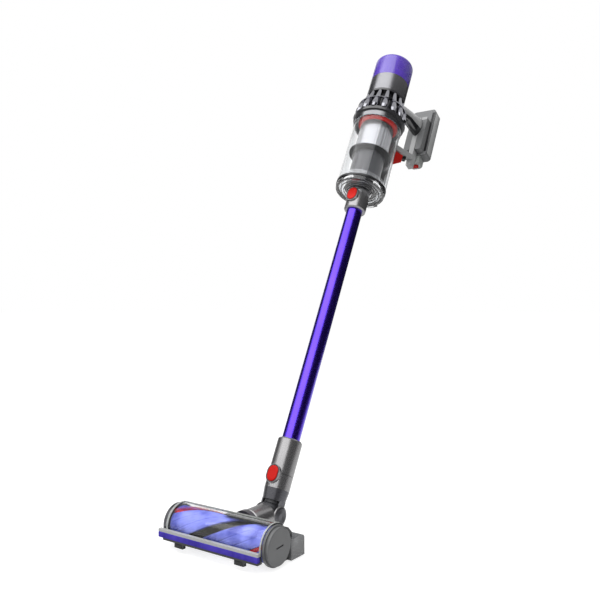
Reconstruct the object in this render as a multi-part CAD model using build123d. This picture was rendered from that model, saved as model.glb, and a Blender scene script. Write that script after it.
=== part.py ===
from build123d import *
import math
import os

# Cordless stick vacuum, leaning back on its cleaner head.
# Millimetres. +X runs along the brush to the right, +Y to the back, +Z up.
# The origin is the centre of the glide strip under the head, on the floor.

# Stance
LEAN = 27.4                  # wand angle from the vertical, degrees
BRUSH_TO_PIVOT = 134.0       # brush axis back to the neck pivot
BRUSH_TO_GLIDE = 44.0        # brush axis back to the glide strip
AXIS_HEIGHT = 39.0           # brush axis and neck pivot above the floor
RUNNING = 0.05               # radial clearance of a shaft in its hole
EASY = 0.4                   # room round a piece that moves freely
OVERCUT = 1.0                # how far a cutting shape runs past what it cuts

# Cleaner head
HEAD_WIDTH = 250.0
CAP_THICKNESS = 12.0
CAP_RADIUS = 36.2
CAP_FACE = 33.2
CAP_FLANGE = 5.0
COIN_SLOT = (20.0, 3.0, 2.0)
SLOT_TURN = 4.0
VISOR_INNER = 36.8
VISOR_WALL = 1.6
VISOR_FRONT = -14.0          # lower front edge, degrees above the front
VISOR_REAR = 150.0           # rear edge, degrees above the front
COMB_ANGLES = (98.0, 112.0)
COMB_THICKNESS = 1.4
SOLE_TOP = 9.0
SOLE_BOTTOM = 3.0
SOLE_REAR = 52.0
GLIDE_LENGTH = 80.0
GLIDE_DEPTH = 12.0
LIP_BOTTOM = 18.0
FELT_BOTTOM = 21.5
FELT_TOP = 32.0
TRIM_TOP = 37.0
LIP_FRONT = 47.0
LIP_DEPTH = 7.0
LIP_WALL = 5.0
FELT_PROUD = 1.0
CHASSIS_HEIGHT = 60.0
CHASSIS_SLOPE = 11.0
COVER_DEPTH = 27.0
COVER_TOP = 40.0
COVER_WIDTH = 36.0
COVER_WALL = 3.0
COVER_CORNER = 7.0
COVER_GAP = 1.8              # end cap to the cheek behind it
WHEEL_RADIUS = 11.0
WHEEL_WIDTH = 12.0
AXLE_RADIUS = 2.5
ROLLER_RADIUS = 4.5
ROLLER_WIDTH = 15.0
ROLLER_INSET = 53.0
ROLLER_AXLE = 1.5
ROLLER_EAR = 3.0

# Brush bar
CORE_OUTER = 25.0
CORE_INNER = 19.0
HUB_WIDTH = 14.0
SPIGOT_RADIUS = 9.0
SPIGOT_LENGTH = 17.0
MOTOR_CAN_RADIUS = 17.0
MOTOR_CAN_LENGTH = 130.0
END_ROOM = 3.0               # brush end to cap
NAP_RADIUS = 31.5
BACKING_RADIUS = 28.0
TIP_RADIUS = 36.0
TWIST = 0.93                 # helix of the strips, degrees per mm
TWIST_STEPS = 12
CARBON_MIDDLE = 31.0         # angle at mid length, degrees above the front
CARBON_WIDTH = 30.0
CARBON_ROWS = 3
CARBON_COLUMNS = 58
NYLON_OFFSET = 125.0
NYLON_WIDTH = 13.0
NYLON_COLUMNS = 76
STRAND = 1.1
STRAND_SINK = 1.0

# Neck
JOURNAL_RADIUS = 22.0
JOURNAL_WALL = 4.0
RING_OUTER = 28.0
RING_LENGTH = 11.0
NECK_RADIUS = 26.0
NECK_WALL = 3.4
NECK_END_GAP = 13.0          # end of the lower tube to the pivot
EAR_THICKNESS = 2.8
EAR_GAP = 0.4
EAR_RADIUS = 9.0             # ears of the upper cone
KNUCKLE_RADIUS = 20.5        # round cheeks of the lower tube
KNUCKLE_EDGE = 1.2
FORK_INNER = 20.4
PIN_RADIUS = 3.5
HOSE_CREST = 19.8
HOSE_VALLEY = 17.4
HOSE_BORE = 14.5
HOSE_RIBS = 11
HOSE_BEND = 36.0
HOSE_END = 27.0
HOSE_CUFF = 6.0
CONE_START = 27.0            # stations along the wand axis from the pivot
CONE_END = 50.0
CONE_SMALL = 23.4
CONE_LARGE = 26.0
NECK_BORE = 18.2
SEAM = 80.0
SEAM_DEPTH = 0.5
SLEEVE_START = 56.0
SLEEVE_END = 154.0
SLEEVE_RADIUS = 26.0
SLEEVE_SEAT = 54.0           # depth of the wand in the sleeve

# Wand
WAND_RADIUS = 19.0
WAND_WALL = 1.4
WAND_TOP = 736.0
COLLAR_START = 724.0
COLLAR_END = 778.0
COLLAR_RADIUS = 26.0
COLLAR_CHAMFER = 3.0
SPIGOT_OUTER = 20.0
SPIGOT_WALL = 2.0
SPIGOT_SEAT = 6.0
DUCT_FLOOR = 4.0

# Release buttons of the wand and the neck
BUTTON_WIDTH = 24.0
BUTTON_LENGTH = 32.0
BUTTON_THICKNESS = 5.5
BUTTON_PROUD = 1.5
BUTTON_TRAVEL = 2.0
BOSS_MARGIN = 3.0
BOSS_PROUD = 3.5
UPPER_BUTTON = 758.0
LOWER_BUTTON = 76.0

# Bin
BASE = 780.0
FLAP_THICKNESS = 10.0
FLAP_HOLE = 28.5
BIN_RADIUS = 60.0
BIN_WALL = 2.0
RIM_START = 973.0
RIM_END = 989.0
RIM_RADIUS = 62.0
BAND_HEIGHT = 5.0
BAND_THICKNESS = 1.8
SEAL_WIDTH = 3.5
SEAL_HEIGHT = 1.5
HINGE_OFFSET = 65.5
HINGE_RADIUS = 3.4
HINGE_PIN = 1.75
HINGE_EAR = 5.0
HINGE_HALF = 14.0

# Shroud and cyclones
DUCT_RADIUS = 39.0
DUCT_END = 884.0
SKIRT_RADIUS = 53.0
SKIRT_EDGE = 888.0
SHROUD_START = 896.0
SHROUD_END = 974.0
SHROUD_RADIUS = 42.5
SHROUD_WALL = 2.5
SEAL_END = 981.0
RED_RING = 51.0
PLUG_RADIUS = 56.4
TRAY_RADIUS = 66.0
TRAY_END = 997.0
PACK_CORE = 50.0
PACK_TOP = 1070.0
CONE_COUNT = 15
CUP_FOOT = 7.6               # cup radius on the tray
CUP_RADIUS = 9.2             # cup radius at its widest
CUP_RING = 61.0              # circle of the cups
CUP_RISE = 10.0
CUP_END = 1030.0
CONE_STEP = 1.6              # ledge between a cup and its cone
CONE_TIP = 5.4
CONE_TIP_RING = 44.6
CONE_PLATE = 6.0
CYCLONE_WALL = 3.2

# Motor and filter
MOTOR_RADIUS = 50.0
MOTOR_WALL = 2.5
MOTOR_END = 1121.0
NECK_SPIGOT = 41.0
NECK_SPIGOT_LENGTH = 8.0
STATOR_RADIUS = 28.0
SHAFT_RADIUS = 3.0
IMPELLER_RADIUS = 30.0
IMPELLER_BLADES = 9
FILTER_END = 1187.0
FILTER_WALL = 2.5
FILTER_EDGE = 6.0
MEDIA_WALL = 9.0

# Handle and battery
GRIP_TILT = 22.0             # grip axis from square to the body, degrees
GRIP_FOOT = 1072.0           # station where the grip axis would meet the body axis
GRIP_ROOT = 36.0
GRIP_WAIST = 118.0           # where the foot of the grip starts to flare
GRIP_FLARE = 22.0
GRIP_WIDTH = 30.0
GRIP_DEPTH = 36.0
GRIP_WALL = 3.0
SHOE_TOP = 183.0
SHOE_START = 1004.0
SHOE_END = 1170.0
SHOE_WIDTH = 14.0
SKID_WIDTH = 19.0
SKID_START = 1056.0
SKID_END = 1169.0
BATTERY_TOP = 204.0
BATTERY_BOTTOM = 238.0
BATTERY_START = 1051.0
BATTERY_END = 1212.0
BATTERY_WIDTH = 70.0
BATTERY_WALL = 2.2
BATTERY_CORNER = 9.0
CELL_RADIUS = 9.2
CELL_LENGTH = 65.0
CELL_COUNT = 7
GUARD_LENGTH = 24.0
GUARD_WIDTH = 32.0
GUARD_INSET = 2.5
LATCH_WIDTH = 20.0
LATCH_DEPTH = 10.0
LATCH_PROUD = 4.0
LATCH_LENGTH = 14.0
RAIL_WIDTH = 44.0
RAIL_BOTTOM = 76.0
RAIL_START = 812.0
STRUT_START = 985.0
STRUT_END = 1028.0
STRUT_WIDTH = 22.0
STRUT_DEPTH = 15.0
LEVER_WIDTH = 18.0
LEVER_START = 926.0
LEVER_LENGTH = 46.0
LEVER_DEPTH = 57.0
LEVER_RISE = 23.0
LEVER_TRAVEL = 10.0
LEVER_GAP = 0.1
SOCKET_DROP = 155.0
SOCKET_RADIUS = 6.0
SOCKET_LENGTH = 20.0
SOCKET_BORE = 2.75
SOCKET_DEPTH = 10.0
TRIGGER_WIDTH = 12.0
TRIGGER_HEIGHT = 28.0
TRIGGER_DEPTH = 17.0
TRIGGER_PROUD = 9.0
TRIGGER_DROP = 86.0
TRIGGER_TRAVEL = 6.0
TRIGGER_EDGE = 4.0
BOARD_START = 104.0
BOARD_LENGTH = 46.0
BOARD_THICKNESS = 1.6

# Places worked out from the sizes above
BRUSH_Y = -BRUSH_TO_GLIDE
PIVOT_Y = BRUSH_Y + BRUSH_TO_PIVOT
HEAD = Pos(0, BRUSH_Y, 0)
STICK = Pos(0, PIVOT_Y, AXIS_HEIGHT) * Rot(-LEAN, 0, 0)
SHELL_HALF = HEAD_WIDTH / 2 - CAP_THICKNESS
ROLLER_OFFSET = HEAD_WIDTH / 2 - ROLLER_INSET
CONE_TOP = PACK_TOP - CONE_PLATE
BRUSH_HALF = SHELL_HALF - END_ROOM
VISOR_OUTER = VISOR_INNER + VISOR_WALL
ROLLER_HEIGHT = LIP_BOTTOM - ROLLER_RADIUS - EASY
FLAP_TOP = BASE + FLAP_THICKNESS
HINGE_STATION = BASE + 0.6 * FLAP_THICKNESS
GRIP_AXIS = Vector(0, math.cos(math.radians(GRIP_TILT)), math.sin(math.radians(GRIP_TILT)))


# Shared shapes

def block(x0, x1, y0, y1, z0, z1):
    """A box between two corners."""
    centre = Pos((x0 + x1) / 2, (y0 + y1) / 2, (z0 + z1) / 2)
    return centre * Box(x1 - x0, y1 - y0, z1 - z0)


def turned(points):
    """A solid turned about the wand axis from (radius, station) points."""
    outline = Polyline(*[(radius, 0, station) for radius, station in points], close=True)
    return revolve(make_face(outline), Axis.Z)


def turned_on_brush(points):
    """A solid turned about the brush axis from (x, radius) points."""
    outline = Polyline(*[(x, 0, radius) for x, radius in points], close=True)
    return Pos(0, 0, AXIS_HEIGHT) * revolve(make_face(outline), Axis.X)


def tube(outer, inner, start, end):
    """A plain tube along the wand axis."""
    return turned([(inner, start), (outer, start), (outer, end), (inner, end)])


def rod(radius, start, end):
    """A round bar along the wand axis."""
    return Pos(0, 0, start) * Cylinder(radius, end - start, align=(Align.CENTER, Align.CENTER, Align.MIN))


def cross_bar(radius, x0, x1, y, z):
    """A round bar parallel to the brush axis."""
    return Pos((x0 + x1) / 2, y, z) * Rot(0, 90, 0) * Cylinder(radius, x1 - x0)


def across(x):
    """The plane square to the brush at x: first axis to the front, second up."""
    return Plane(origin=(x, 0, AXIS_HEIGHT), x_dir=(0, -1, 0), z_dir=(-1, 0, 0))


def sector(inner, outer, start, end):
    """A ring sector; angles in degrees from the first axis."""
    rim = CenterArc((0, 0), outer, start, end - start)
    bore = CenterArc((0, 0), inner, start, end - start)
    return make_face([rim, Line(rim @ 1, bore @ 1), bore, Line(bore @ 0, rim @ 0)])


def arch(inner, outer, start, end, half_length):
    """A ring sector drawn out along the brush axis."""
    return extrude(across(0) * sector(inner, outer, start, end), half_length, both=True)


def oval(width, length, thickness):
    """A round-ended pad; its thickness runs along the handle direction from y 0."""
    face = Plane.XZ * SlotOverall(length, width, rotation=90)
    return extrude(face, -thickness)


# Cleaner head

def left_cap():
    disc = cross_bar(CAP_RADIUS, -HEAD_WIDTH / 2, -SHELL_HALF, 0, AXIS_HEIGHT)
    rim = disc.faces().sort_by(Axis.X)[0].edges()
    return fillet(rim, CAP_THICKNESS / 4)


def end_cap():
    disc = cross_bar(CAP_FACE, SHELL_HALF, HEAD_WIDTH / 2, 0, AXIS_HEIGHT)
    disc = fillet(disc.faces().sort_by(Axis.X)[-1].edges(), CAP_THICKNESS / 6)
    disc += cross_bar(CAP_RADIUS, SHELL_HALF, SHELL_HALF + CAP_FLANGE, 0, AXIS_HEIGHT)
    length, width, depth = COIN_SLOT
    slot = Box(2 * depth, length, width)
    disc -= Pos(HEAD_WIDTH / 2, 0, AXIS_HEIGHT) * Rot(SLOT_TURN, 0, 0) * slot
    return disc + cross_bar(SPIGOT_RADIUS, SHELL_HALF - SPIGOT_LENGTH, SHELL_HALF, 0, AXIS_HEIGHT)


def head_visor():
    return arch(VISOR_INNER, VISOR_OUTER, VISOR_FRONT, VISOR_REAR, SHELL_HALF)


def seal_strip():
    start, end = COMB_ANGLES
    return arch(VISOR_OUTER, VISOR_OUTER + COMB_THICKNESS, start, end, SHELL_HALF)


def front_trim():
    back = -LIP_FRONT + LIP_DEPTH
    return block(-HEAD_WIDTH / 2, SHELL_HALF, -LIP_FRONT, back, FELT_TOP, TRIM_TOP)


def front_felt():
    back = -LIP_FRONT + LIP_DEPTH
    return block(-HEAD_WIDTH / 2, SHELL_HALF, -LIP_FRONT - FELT_PROUD, back, FELT_BOTTOM, FELT_TOP)


def roller_ears():
    """The two lugs that hold one front roller, at mid width."""
    half = ROLLER_WIDTH / 2 + EASY
    low = ROLLER_HEIGHT - 2 * ROLLER_AXLE
    lug = block(half, half + ROLLER_EAR, -LIP_FRONT, -LIP_FRONT + LIP_DEPTH, low, LIP_BOTTOM)
    lug -= cross_bar(ROLLER_AXLE + RUNNING, 0, HEAD_WIDTH, -LIP_FRONT + LIP_DEPTH / 2, ROLLER_HEIGHT)
    return lug + mirror(lug, Plane.YZ)


def chamber(radius):
    """The round room of the brush, as a cutting shape."""
    return cross_bar(radius, -HEAD_WIDTH, HEAD_WIDTH, 0, AXIS_HEIGHT)


def front_lip():
    back = -LIP_FRONT + LIP_DEPTH
    wall = block(-SHELL_HALF, SHELL_HALF, back, back + LIP_WALL, LIP_BOTTOM, FELT_TOP)
    lip = block(-SHELL_HALF, SHELL_HALF, -LIP_FRONT, back, LIP_BOTTOM, FELT_BOTTOM)
    ears = [Pos(side * ROLLER_OFFSET, 0, 0) * roller_ears() for side in (-1, 1)]
    return wall + lip + ears - chamber(VISOR_OUTER)


def sole_plate():
    plate = block(-SHELL_HALF, SHELL_HALF, 0, SOLE_REAR, SOLE_BOTTOM, SOLE_TOP)
    return plate - chamber(VISOR_INNER)


def front_roller():
    """A front roller with its stub axles, at mid width."""
    y = -LIP_FRONT + LIP_DEPTH / 2
    half = ROLLER_WIDTH / 2
    drum = cross_bar(ROLLER_RADIUS, -half, half, y, ROLLER_HEIGHT)
    return drum + cross_bar(ROLLER_AXLE, -half - ROLLER_EAR, half + ROLLER_EAR, y, ROLLER_HEIGHT)


def glide_strip():
    near = BRUSH_TO_GLIDE - GLIDE_DEPTH / 2
    return block(-GLIDE_LENGTH / 2, GLIDE_LENGTH / 2, near, near + GLIDE_DEPTH, 0, SOLE_BOTTOM)


def head_housing():
    edge = math.radians(180 - VISOR_REAR)
    lip_y = VISOR_OUTER * math.cos(edge)
    lip_z = AXIS_HEIGHT + VISOR_OUTER * math.sin(edge)
    points = [(0, SOLE_TOP), (SOLE_REAR, SOLE_TOP), (SOLE_REAR, CHASSIS_HEIGHT - CHASSIS_SLOPE)]
    points += [(SOLE_REAR - CHASSIS_SLOPE, CHASSIS_HEIGHT), (lip_y, lip_z), (0, AXIS_HEIGHT)]
    side = make_face(Polyline(*[(0, y, z) for y, z in points], close=True))
    body = extrude(side, SHELL_HALF, both=True, dir=(1, 0, 0))
    visor_room = arch(VISOR_INNER - OVERCUT, VISOR_OUTER, VISOR_FRONT, VISOR_REAR, HEAD_WIDTH)
    throat = Pos(0, SOLE_REAR, AXIS_HEIGHT) * Rot(90, 0, 0) * Cylinder(JOURNAL_RADIUS + EASY, 2 * SOLE_REAR)
    return body - chamber(VISOR_INNER) - visor_room - throat


def swivel_ring():
    ring = Cylinder(RING_OUTER, RING_LENGTH) - Cylinder(JOURNAL_RADIUS + RUNNING, RING_LENGTH)
    return Pos(0, SOLE_REAR + RING_LENGTH / 2, AXIS_HEIGHT) * Rot(90, 0, 0) * ring


def wheel_place():
    """Middle of the right rear wheel: x and y."""
    return SHELL_HALF - COVER_WIDTH / 2 + CAP_THICKNESS - 3, SOLE_REAR + COVER_DEPTH / 2


def wheel_cover():
    x, y = wheel_place()
    half = COVER_WIDTH / 2
    shell = block(x - half, x + half, SOLE_REAR, SOLE_REAR + COVER_DEPTH, SOLE_BOTTOM, COVER_TOP)
    rear = shell.edges().filter_by(Axis.X).group_by(Axis.Y)[-1].sort_by(Axis.Z)[-1]
    shell = fillet(rear, COVER_CORNER)
    shell += block(SHELL_HALF, x + half, CAP_RADIUS + COVER_GAP, SOLE_REAR, SOLE_BOTTOM, COVER_TOP)
    pocket = WHEEL_WIDTH / 2 + EASY
    top = WHEEL_RADIUS * 2 + EASY * 3
    reach = WHEEL_RADIUS + EASY
    shell -= block(x - pocket, x + pocket, y - reach, y + reach, 0, top)
    axle = half - COVER_WALL
    return shell - cross_bar(AXLE_RADIUS + RUNNING, x - axle, x + axle, y, WHEEL_RADIUS)


def wheel_covers():
    cover = wheel_cover()
    return [cover, mirror(cover, Plane.YZ)]


def rear_wheel():
    """The right rear wheel with its stub axles."""
    x, y = wheel_place()
    axle = COVER_WIDTH / 2 - COVER_WALL
    tyre = cross_bar(WHEEL_RADIUS, x - WHEEL_WIDTH / 2, x + WHEEL_WIDTH / 2, y, WHEEL_RADIUS)
    tyre = fillet(tyre.edges(), 2)
    return tyre + cross_bar(AXLE_RADIUS, x - axle, x + axle, y, WHEEL_RADIUS)


# Brush bar

def brush_motor():
    return cross_bar(MOTOR_CAN_RADIUS, -SHELL_HALF, -SHELL_HALF + MOTOR_CAN_LENGTH, 0, AXIS_HEIGHT)


def brush_core():
    bearing = MOTOR_CAN_RADIUS + RUNNING
    points = [(-BRUSH_HALF, bearing), (-BRUSH_HALF + HUB_WIDTH, bearing)]
    points += [(-BRUSH_HALF + HUB_WIDTH, CORE_INNER)]
    points += [(BRUSH_HALF - HUB_WIDTH, CORE_INNER), (BRUSH_HALF - HUB_WIDTH, SPIGOT_RADIUS + RUNNING)]
    points += [(BRUSH_HALF, SPIGOT_RADIUS + RUNNING), (BRUSH_HALF, CORE_OUTER), (-BRUSH_HALF, CORE_OUTER)]
    return turned_on_brush(points)


def strip_angle(middle, x):
    """Angle of a helical strip at x."""
    return middle + TWIST * x


def twisted(inner, outer, middle, width):
    """A ring sector that winds along the brush."""
    sections = []
    for step in range(TWIST_STEPS + 1):
        x = -BRUSH_HALF + 2 * BRUSH_HALF * step / TWIST_STEPS
        angle = strip_angle(middle, x)
        sections.append(across(x) * sector(inner - OVERCUT, outer, angle - width / 2, angle + width / 2))
    core = cross_bar(inner, -HEAD_WIDTH, HEAD_WIDTH, 0, AXIS_HEIGHT)
    return loft(sections, ruled=True) - core


def strips():
    """Each strip's middle angle and width: carbon first, then two of nylon."""
    nylon = [(CARBON_MIDDLE + side * NYLON_OFFSET, NYLON_WIDTH) for side in (1, -1)]
    return [(CARBON_MIDDLE, CARBON_WIDTH), *nylon]


def brush_nap():
    places = sorted((middle % 360, width) for middle, width in strips())
    pieces = []
    following = places[1:] + [(places[0][0] + 360, places[0][1])]
    for (middle, width), (after, after_width) in zip(places, following):
        start = middle + width / 2 + 0.5
        end = after - after_width / 2 - 0.5
        pieces.append(twisted(CORE_OUTER, NAP_RADIUS, (start + end) / 2, end - start))
    return pieces


def bristle_row(middle, columns, shift):
    """Strands that stand out of one helical line of a strip."""
    length = TIP_RADIUS - BACKING_RADIUS + STRAND_SINK
    strand = Pos(BACKING_RADIUS - STRAND_SINK + length / 2, 0, 0) * Box(length, STRAND, STRAND)
    pitch = 2 * (BRUSH_HALF - 2 * STRAND) / columns
    row = []
    for index in range(columns):
        x = -BRUSH_HALF + 2 * STRAND + pitch * (index + shift)
        row.append(across(x) * Rot(0, 0, strip_angle(middle, x)) * strand)
    return row


def carbon_bristles():
    middle, width = strips()[0]
    backing = twisted(CORE_OUTER, BACKING_RADIUS, middle, width)
    strands = []
    for row in range(CARBON_ROWS):
        across_strip = (row - (CARBON_ROWS - 1) / 2) * width / (CARBON_ROWS + 0.6)
        strands += bristle_row(middle + across_strip, CARBON_COLUMNS, 0.3 + 0.4 * (row % 2))
    return backing + strands


def nylon_bristles():
    pieces = []
    for middle, width in strips()[1:]:
        backing = twisted(CORE_OUTER, BACKING_RADIUS, middle, width)
        pieces.append(backing + bristle_row(middle, NYLON_COLUMNS, 0.5))
    return pieces


# Neck

def neck_tube():
    start = SOLE_REAR - 6
    journal_end = SOLE_REAR + RING_LENGTH + 2
    end = BRUSH_TO_PIVOT - NECK_END_GAP
    bore = JOURNAL_RADIUS - JOURNAL_WALL
    room = NECK_RADIUS - NECK_WALL
    wide = journal_end + NECK_RADIUS - JOURNAL_RADIUS
    points = [(bore, start), (JOURNAL_RADIUS, start), (JOURNAL_RADIUS, journal_end), (NECK_RADIUS, wide)]
    points += [(NECK_RADIUS, end - NECK_WALL), (NECK_RADIUS - NECK_WALL / 2, end), (room, end)]
    points += [(room, wide), (bore, wide - NECK_WALL)]
    tube_shell = Pos(0, 0, AXIS_HEIGHT) * Rot(-90, 0, 0) * turned(points)
    inner = FORK_INNER + EAR_THICKNESS + EAR_GAP
    cheek = cross_bar(KNUCKLE_RADIUS, inner, inner + EAR_THICKNESS, BRUSH_TO_PIVOT, AXIS_HEIGHT)
    cheek = fillet(cheek.faces().sort_by(Axis.X)[-1].edges(), KNUCKLE_EDGE)
    cheek -= cross_bar(PIN_RADIUS, 0, HEAD_WIDTH, BRUSH_TO_PIVOT, AXIS_HEIGHT)
    return tube_shell + cheek + mirror(cheek, Plane.YZ)


def neck_pins():
    outer = FORK_INNER + 2 * EAR_THICKNESS + EAR_GAP
    pin = cross_bar(PIN_RADIUS, FORK_INNER, outer, BRUSH_TO_PIVOT, AXIS_HEIGHT)
    return [pin, mirror(pin, Plane.YZ)]


def hose_plane(distance):
    """Plane across the hose at a distance along it, from its front end."""
    turn = math.radians(90 - LEAN)
    tangent = HOSE_BEND * math.tan(turn / 2)
    bend_end = HOSE_END + HOSE_BEND * turn
    y = BRUSH_TO_PIVOT - tangent
    if distance <= HOSE_END:
        return Plane((0, y - HOSE_END + distance, AXIS_HEIGHT), (1, 0, 0), (0, 1, 0))
    angle = min((distance - HOSE_END) / HOSE_BEND, turn)
    past = max(0, distance - bend_end)
    heading = (0, math.cos(angle), math.sin(angle))
    y += HOSE_BEND * math.sin(angle) + past * heading[1]
    z = AXIS_HEIGHT + HOSE_BEND * (1 - math.cos(angle)) + past * heading[2]
    return Plane((0, y, z), (1, 0, 0), heading)


def neck_bellows():
    """The ribbed hose through the neck joint."""
    turn = math.radians(90 - LEAN)
    ribbed = HOSE_BEND * turn
    pitch = ribbed / HOSE_RIBS
    front = NECK_RADIUS - NECK_WALL - RUNNING
    top = NECK_BORE - RUNNING
    end = 2 * HOSE_END + ribbed
    stations = [(0, front), (HOSE_CUFF, front), (HOSE_CUFF + 2 * OVERCUT, HOSE_VALLEY)]
    for rib in range(HOSE_RIBS):
        start = HOSE_END + rib * pitch
        for share, radius in ((0.0, HOSE_VALLEY), (0.3, HOSE_CREST), (0.6, HOSE_CREST), (0.9, HOSE_VALLEY)):
            stations.append((start + share * pitch, radius))
    stations += [(end - HOSE_CUFF - 2 * OVERCUT, HOSE_VALLEY), (end - HOSE_CUFF, top), (end, top)]
    outside = loft([hose_plane(distance) * Circle(radius) for distance, radius in stations], ruled=True)
    inside = loft([hose_plane(distance) * Circle(HOSE_BORE) for distance, _ in stations], ruled=True)
    return outside - inside


def neck_cone():
    points = [(NECK_BORE, CONE_START), (CONE_SMALL, CONE_START)]
    points += [(CONE_LARGE, CONE_END), (NECK_BORE, CONE_END)]
    shell = turned(points)
    outer = FORK_INNER + EAR_THICKNESS
    ear = block(FORK_INNER, outer, -EAR_RADIUS, EAR_RADIUS, 0, CONE_START + EAR_THICKNESS)
    ear += cross_bar(EAR_RADIUS, FORK_INNER, outer, 0, 0)
    ear -= cross_bar(PIN_RADIUS + RUNNING, 0, HEAD_WIDTH, 0, 0)
    return shell + ear + mirror(ear, Plane.YZ)


# Release buttons

def button_room(station, radius, clear):
    """A button boss or pocket outline on the front of a collar, from its axis outwards."""
    margin = BOSS_MARGIN if clear is None else clear
    pad = oval(BUTTON_WIDTH + 2 * margin, BUTTON_LENGTH + 2 * margin, radius + BOSS_PROUD)
    return Pos(0, -radius - BOSS_PROUD, station) * pad


def with_button_boss(shell, station, radius, bore):
    """A collar with the raised oval boss and pocket of its button."""
    boss = button_room(station, radius, None)
    boss -= rod(bore, station - 2 * BUTTON_LENGTH, station + 2 * BUTTON_LENGTH)
    depth = BUTTON_THICKNESS + BUTTON_TRAVEL + EASY - BUTTON_PROUD
    pocket = oval(BUTTON_WIDTH + 2 * EASY, BUTTON_LENGTH + 2 * EASY, depth + 1)
    return shell + boss - Pos(0, -radius - BOSS_PROUD - 1, station) * pocket


def release_button(station, radius):
    pad = oval(BUTTON_WIDTH, BUTTON_LENGTH, BUTTON_THICKNESS)
    return Pos(0, -radius - BOSS_PROUD - BUTTON_PROUD, station) * pad


def neck_collar():
    return tube(CONE_LARGE, NECK_BORE, CONE_END, SLEEVE_START)


def neck_sleeve():
    seat = SLEEVE_END - SLEEVE_SEAT
    fit = WAND_RADIUS + RUNNING
    groove = SLEEVE_RADIUS - SEAM_DEPTH
    points = [(NECK_BORE, SLEEVE_START), (SLEEVE_RADIUS, SLEEVE_START), (SLEEVE_RADIUS, SEAM - SEAM_DEPTH)]
    points += [(groove, SEAM - SEAM_DEPTH), (groove, SEAM + SEAM_DEPTH), (SLEEVE_RADIUS, SEAM + SEAM_DEPTH)]
    points += [(SLEEVE_RADIUS, SLEEVE_END - COLLAR_CHAMFER), (SLEEVE_RADIUS - COLLAR_CHAMFER, SLEEVE_END)]
    points += [(fit, SLEEVE_END), (fit, seat), (NECK_BORE, seat)]
    return with_button_boss(turned(points), LOWER_BUTTON, SLEEVE_RADIUS, fit)


# Wand

def wand_tube():
    return tube(WAND_RADIUS, WAND_RADIUS - WAND_WALL, SLEEVE_END - SLEEVE_SEAT, WAND_TOP)


def wand_collar():
    fit = WAND_RADIUS + RUNNING
    socket = SPIGOT_OUTER + RUNNING
    bore = WAND_RADIUS - WAND_WALL
    points = [(fit, COLLAR_START), (COLLAR_RADIUS - COLLAR_CHAMFER, COLLAR_START)]
    points += [(COLLAR_RADIUS, COLLAR_START + COLLAR_CHAMFER), (COLLAR_RADIUS, COLLAR_END)]
    points += [(socket, COLLAR_END)]
    points += [(socket, WAND_TOP + 4), (bore, WAND_TOP + 4), (bore, WAND_TOP), (fit, WAND_TOP)]
    return with_button_boss(turned(points), UPPER_BUTTON, COLLAR_RADIUS, socket)


# Bin

def bin_wall():
    return tube(BIN_RADIUS, BIN_RADIUS - BIN_WALL, FLAP_TOP, RIM_START)


def bin_rim():
    return tube(RIM_RADIUS, BIN_RADIUS - BIN_WALL, RIM_START, RIM_END)


def bin_ring():
    outer = BIN_RADIUS + BAND_THICKNESS
    band = tube(outer, BIN_RADIUS, FLAP_TOP, FLAP_TOP + BAND_HEIGHT)
    low = HINGE_HALF - HINGE_EAR
    arm = block(low, HINGE_HALF, BIN_RADIUS, HINGE_OFFSET, HINGE_STATION, FLAP_TOP + BAND_HEIGHT)
    ear = arm + cross_bar(HINGE_RADIUS, low, HINGE_HALF, HINGE_OFFSET, HINGE_STATION)
    ear -= rod(BIN_RADIUS + EASY, 0, FLAP_TOP)
    ear -= rod(BIN_RADIUS, 0, RIM_END)
    ear -= cross_bar(HINGE_PIN + RUNNING, low - 1, HINGE_HALF + 1, HINGE_OFFSET, HINGE_STATION)
    return band + ear + mirror(ear, Plane.YZ)


def bin_flap():
    plate = tube(BIN_RADIUS, FLAP_HOLE, BASE, FLAP_TOP)
    half = HINGE_HALF - HINGE_EAR - EASY
    knuckle = cross_bar(HINGE_RADIUS, -half, half, HINGE_OFFSET, HINGE_STATION)
    knuckle += block(-half, half, BIN_RADIUS - 4, HINGE_OFFSET, BASE, HINGE_STATION)
    pin = cross_bar(HINGE_PIN, -HINGE_HALF, HINGE_HALF, HINGE_OFFSET, HINGE_STATION)
    return plate + knuckle + pin


def flap_seal():
    outer = BIN_RADIUS - BIN_WALL - EASY
    return tube(outer, outer - SEAL_WIDTH, FLAP_TOP, FLAP_TOP + SEAL_HEIGHT)


# Shroud and cyclones

def inlet_duct():
    """The stem that plugs into the wand, and the wide cup that sits on it."""
    stem = tube(SPIGOT_OUTER, SPIGOT_OUTER - SPIGOT_WALL, WAND_TOP + SPIGOT_SEAT, SHROUD_START)
    wall = DUCT_RADIUS - SPIGOT_WALL
    floor = FLAP_TOP + DUCT_FLOOR
    points = [(SPIGOT_OUTER, FLAP_TOP), (DUCT_RADIUS, FLAP_TOP), (DUCT_RADIUS, DUCT_END)]
    points += [(wall, DUCT_END), (wall, floor), (SPIGOT_OUTER, floor)]
    return [stem, turned(points)]


def shroud_skirt():
    inner = DUCT_RADIUS - SPIGOT_WALL
    points = [(inner, DUCT_END), (DUCT_RADIUS, DUCT_END), (SKIRT_RADIUS, SKIRT_EDGE)]
    points += [(SKIRT_RADIUS, SKIRT_EDGE + 2)]
    points += [(SHROUD_RADIUS, SHROUD_START), (inner, SHROUD_START)]
    return turned(points)


def shroud_mesh():
    return tube(SHROUD_RADIUS, SHROUD_RADIUS - SHROUD_WALL, SHROUD_START, SHROUD_END)


def bin_seal():
    inner = SHROUD_RADIUS - SHROUD_WALL
    low = SHROUD_RADIUS + 2
    return turned([(inner, SHROUD_END), (low, SHROUD_END), (RED_RING, SEAL_END), (inner, SEAL_END)])


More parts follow.
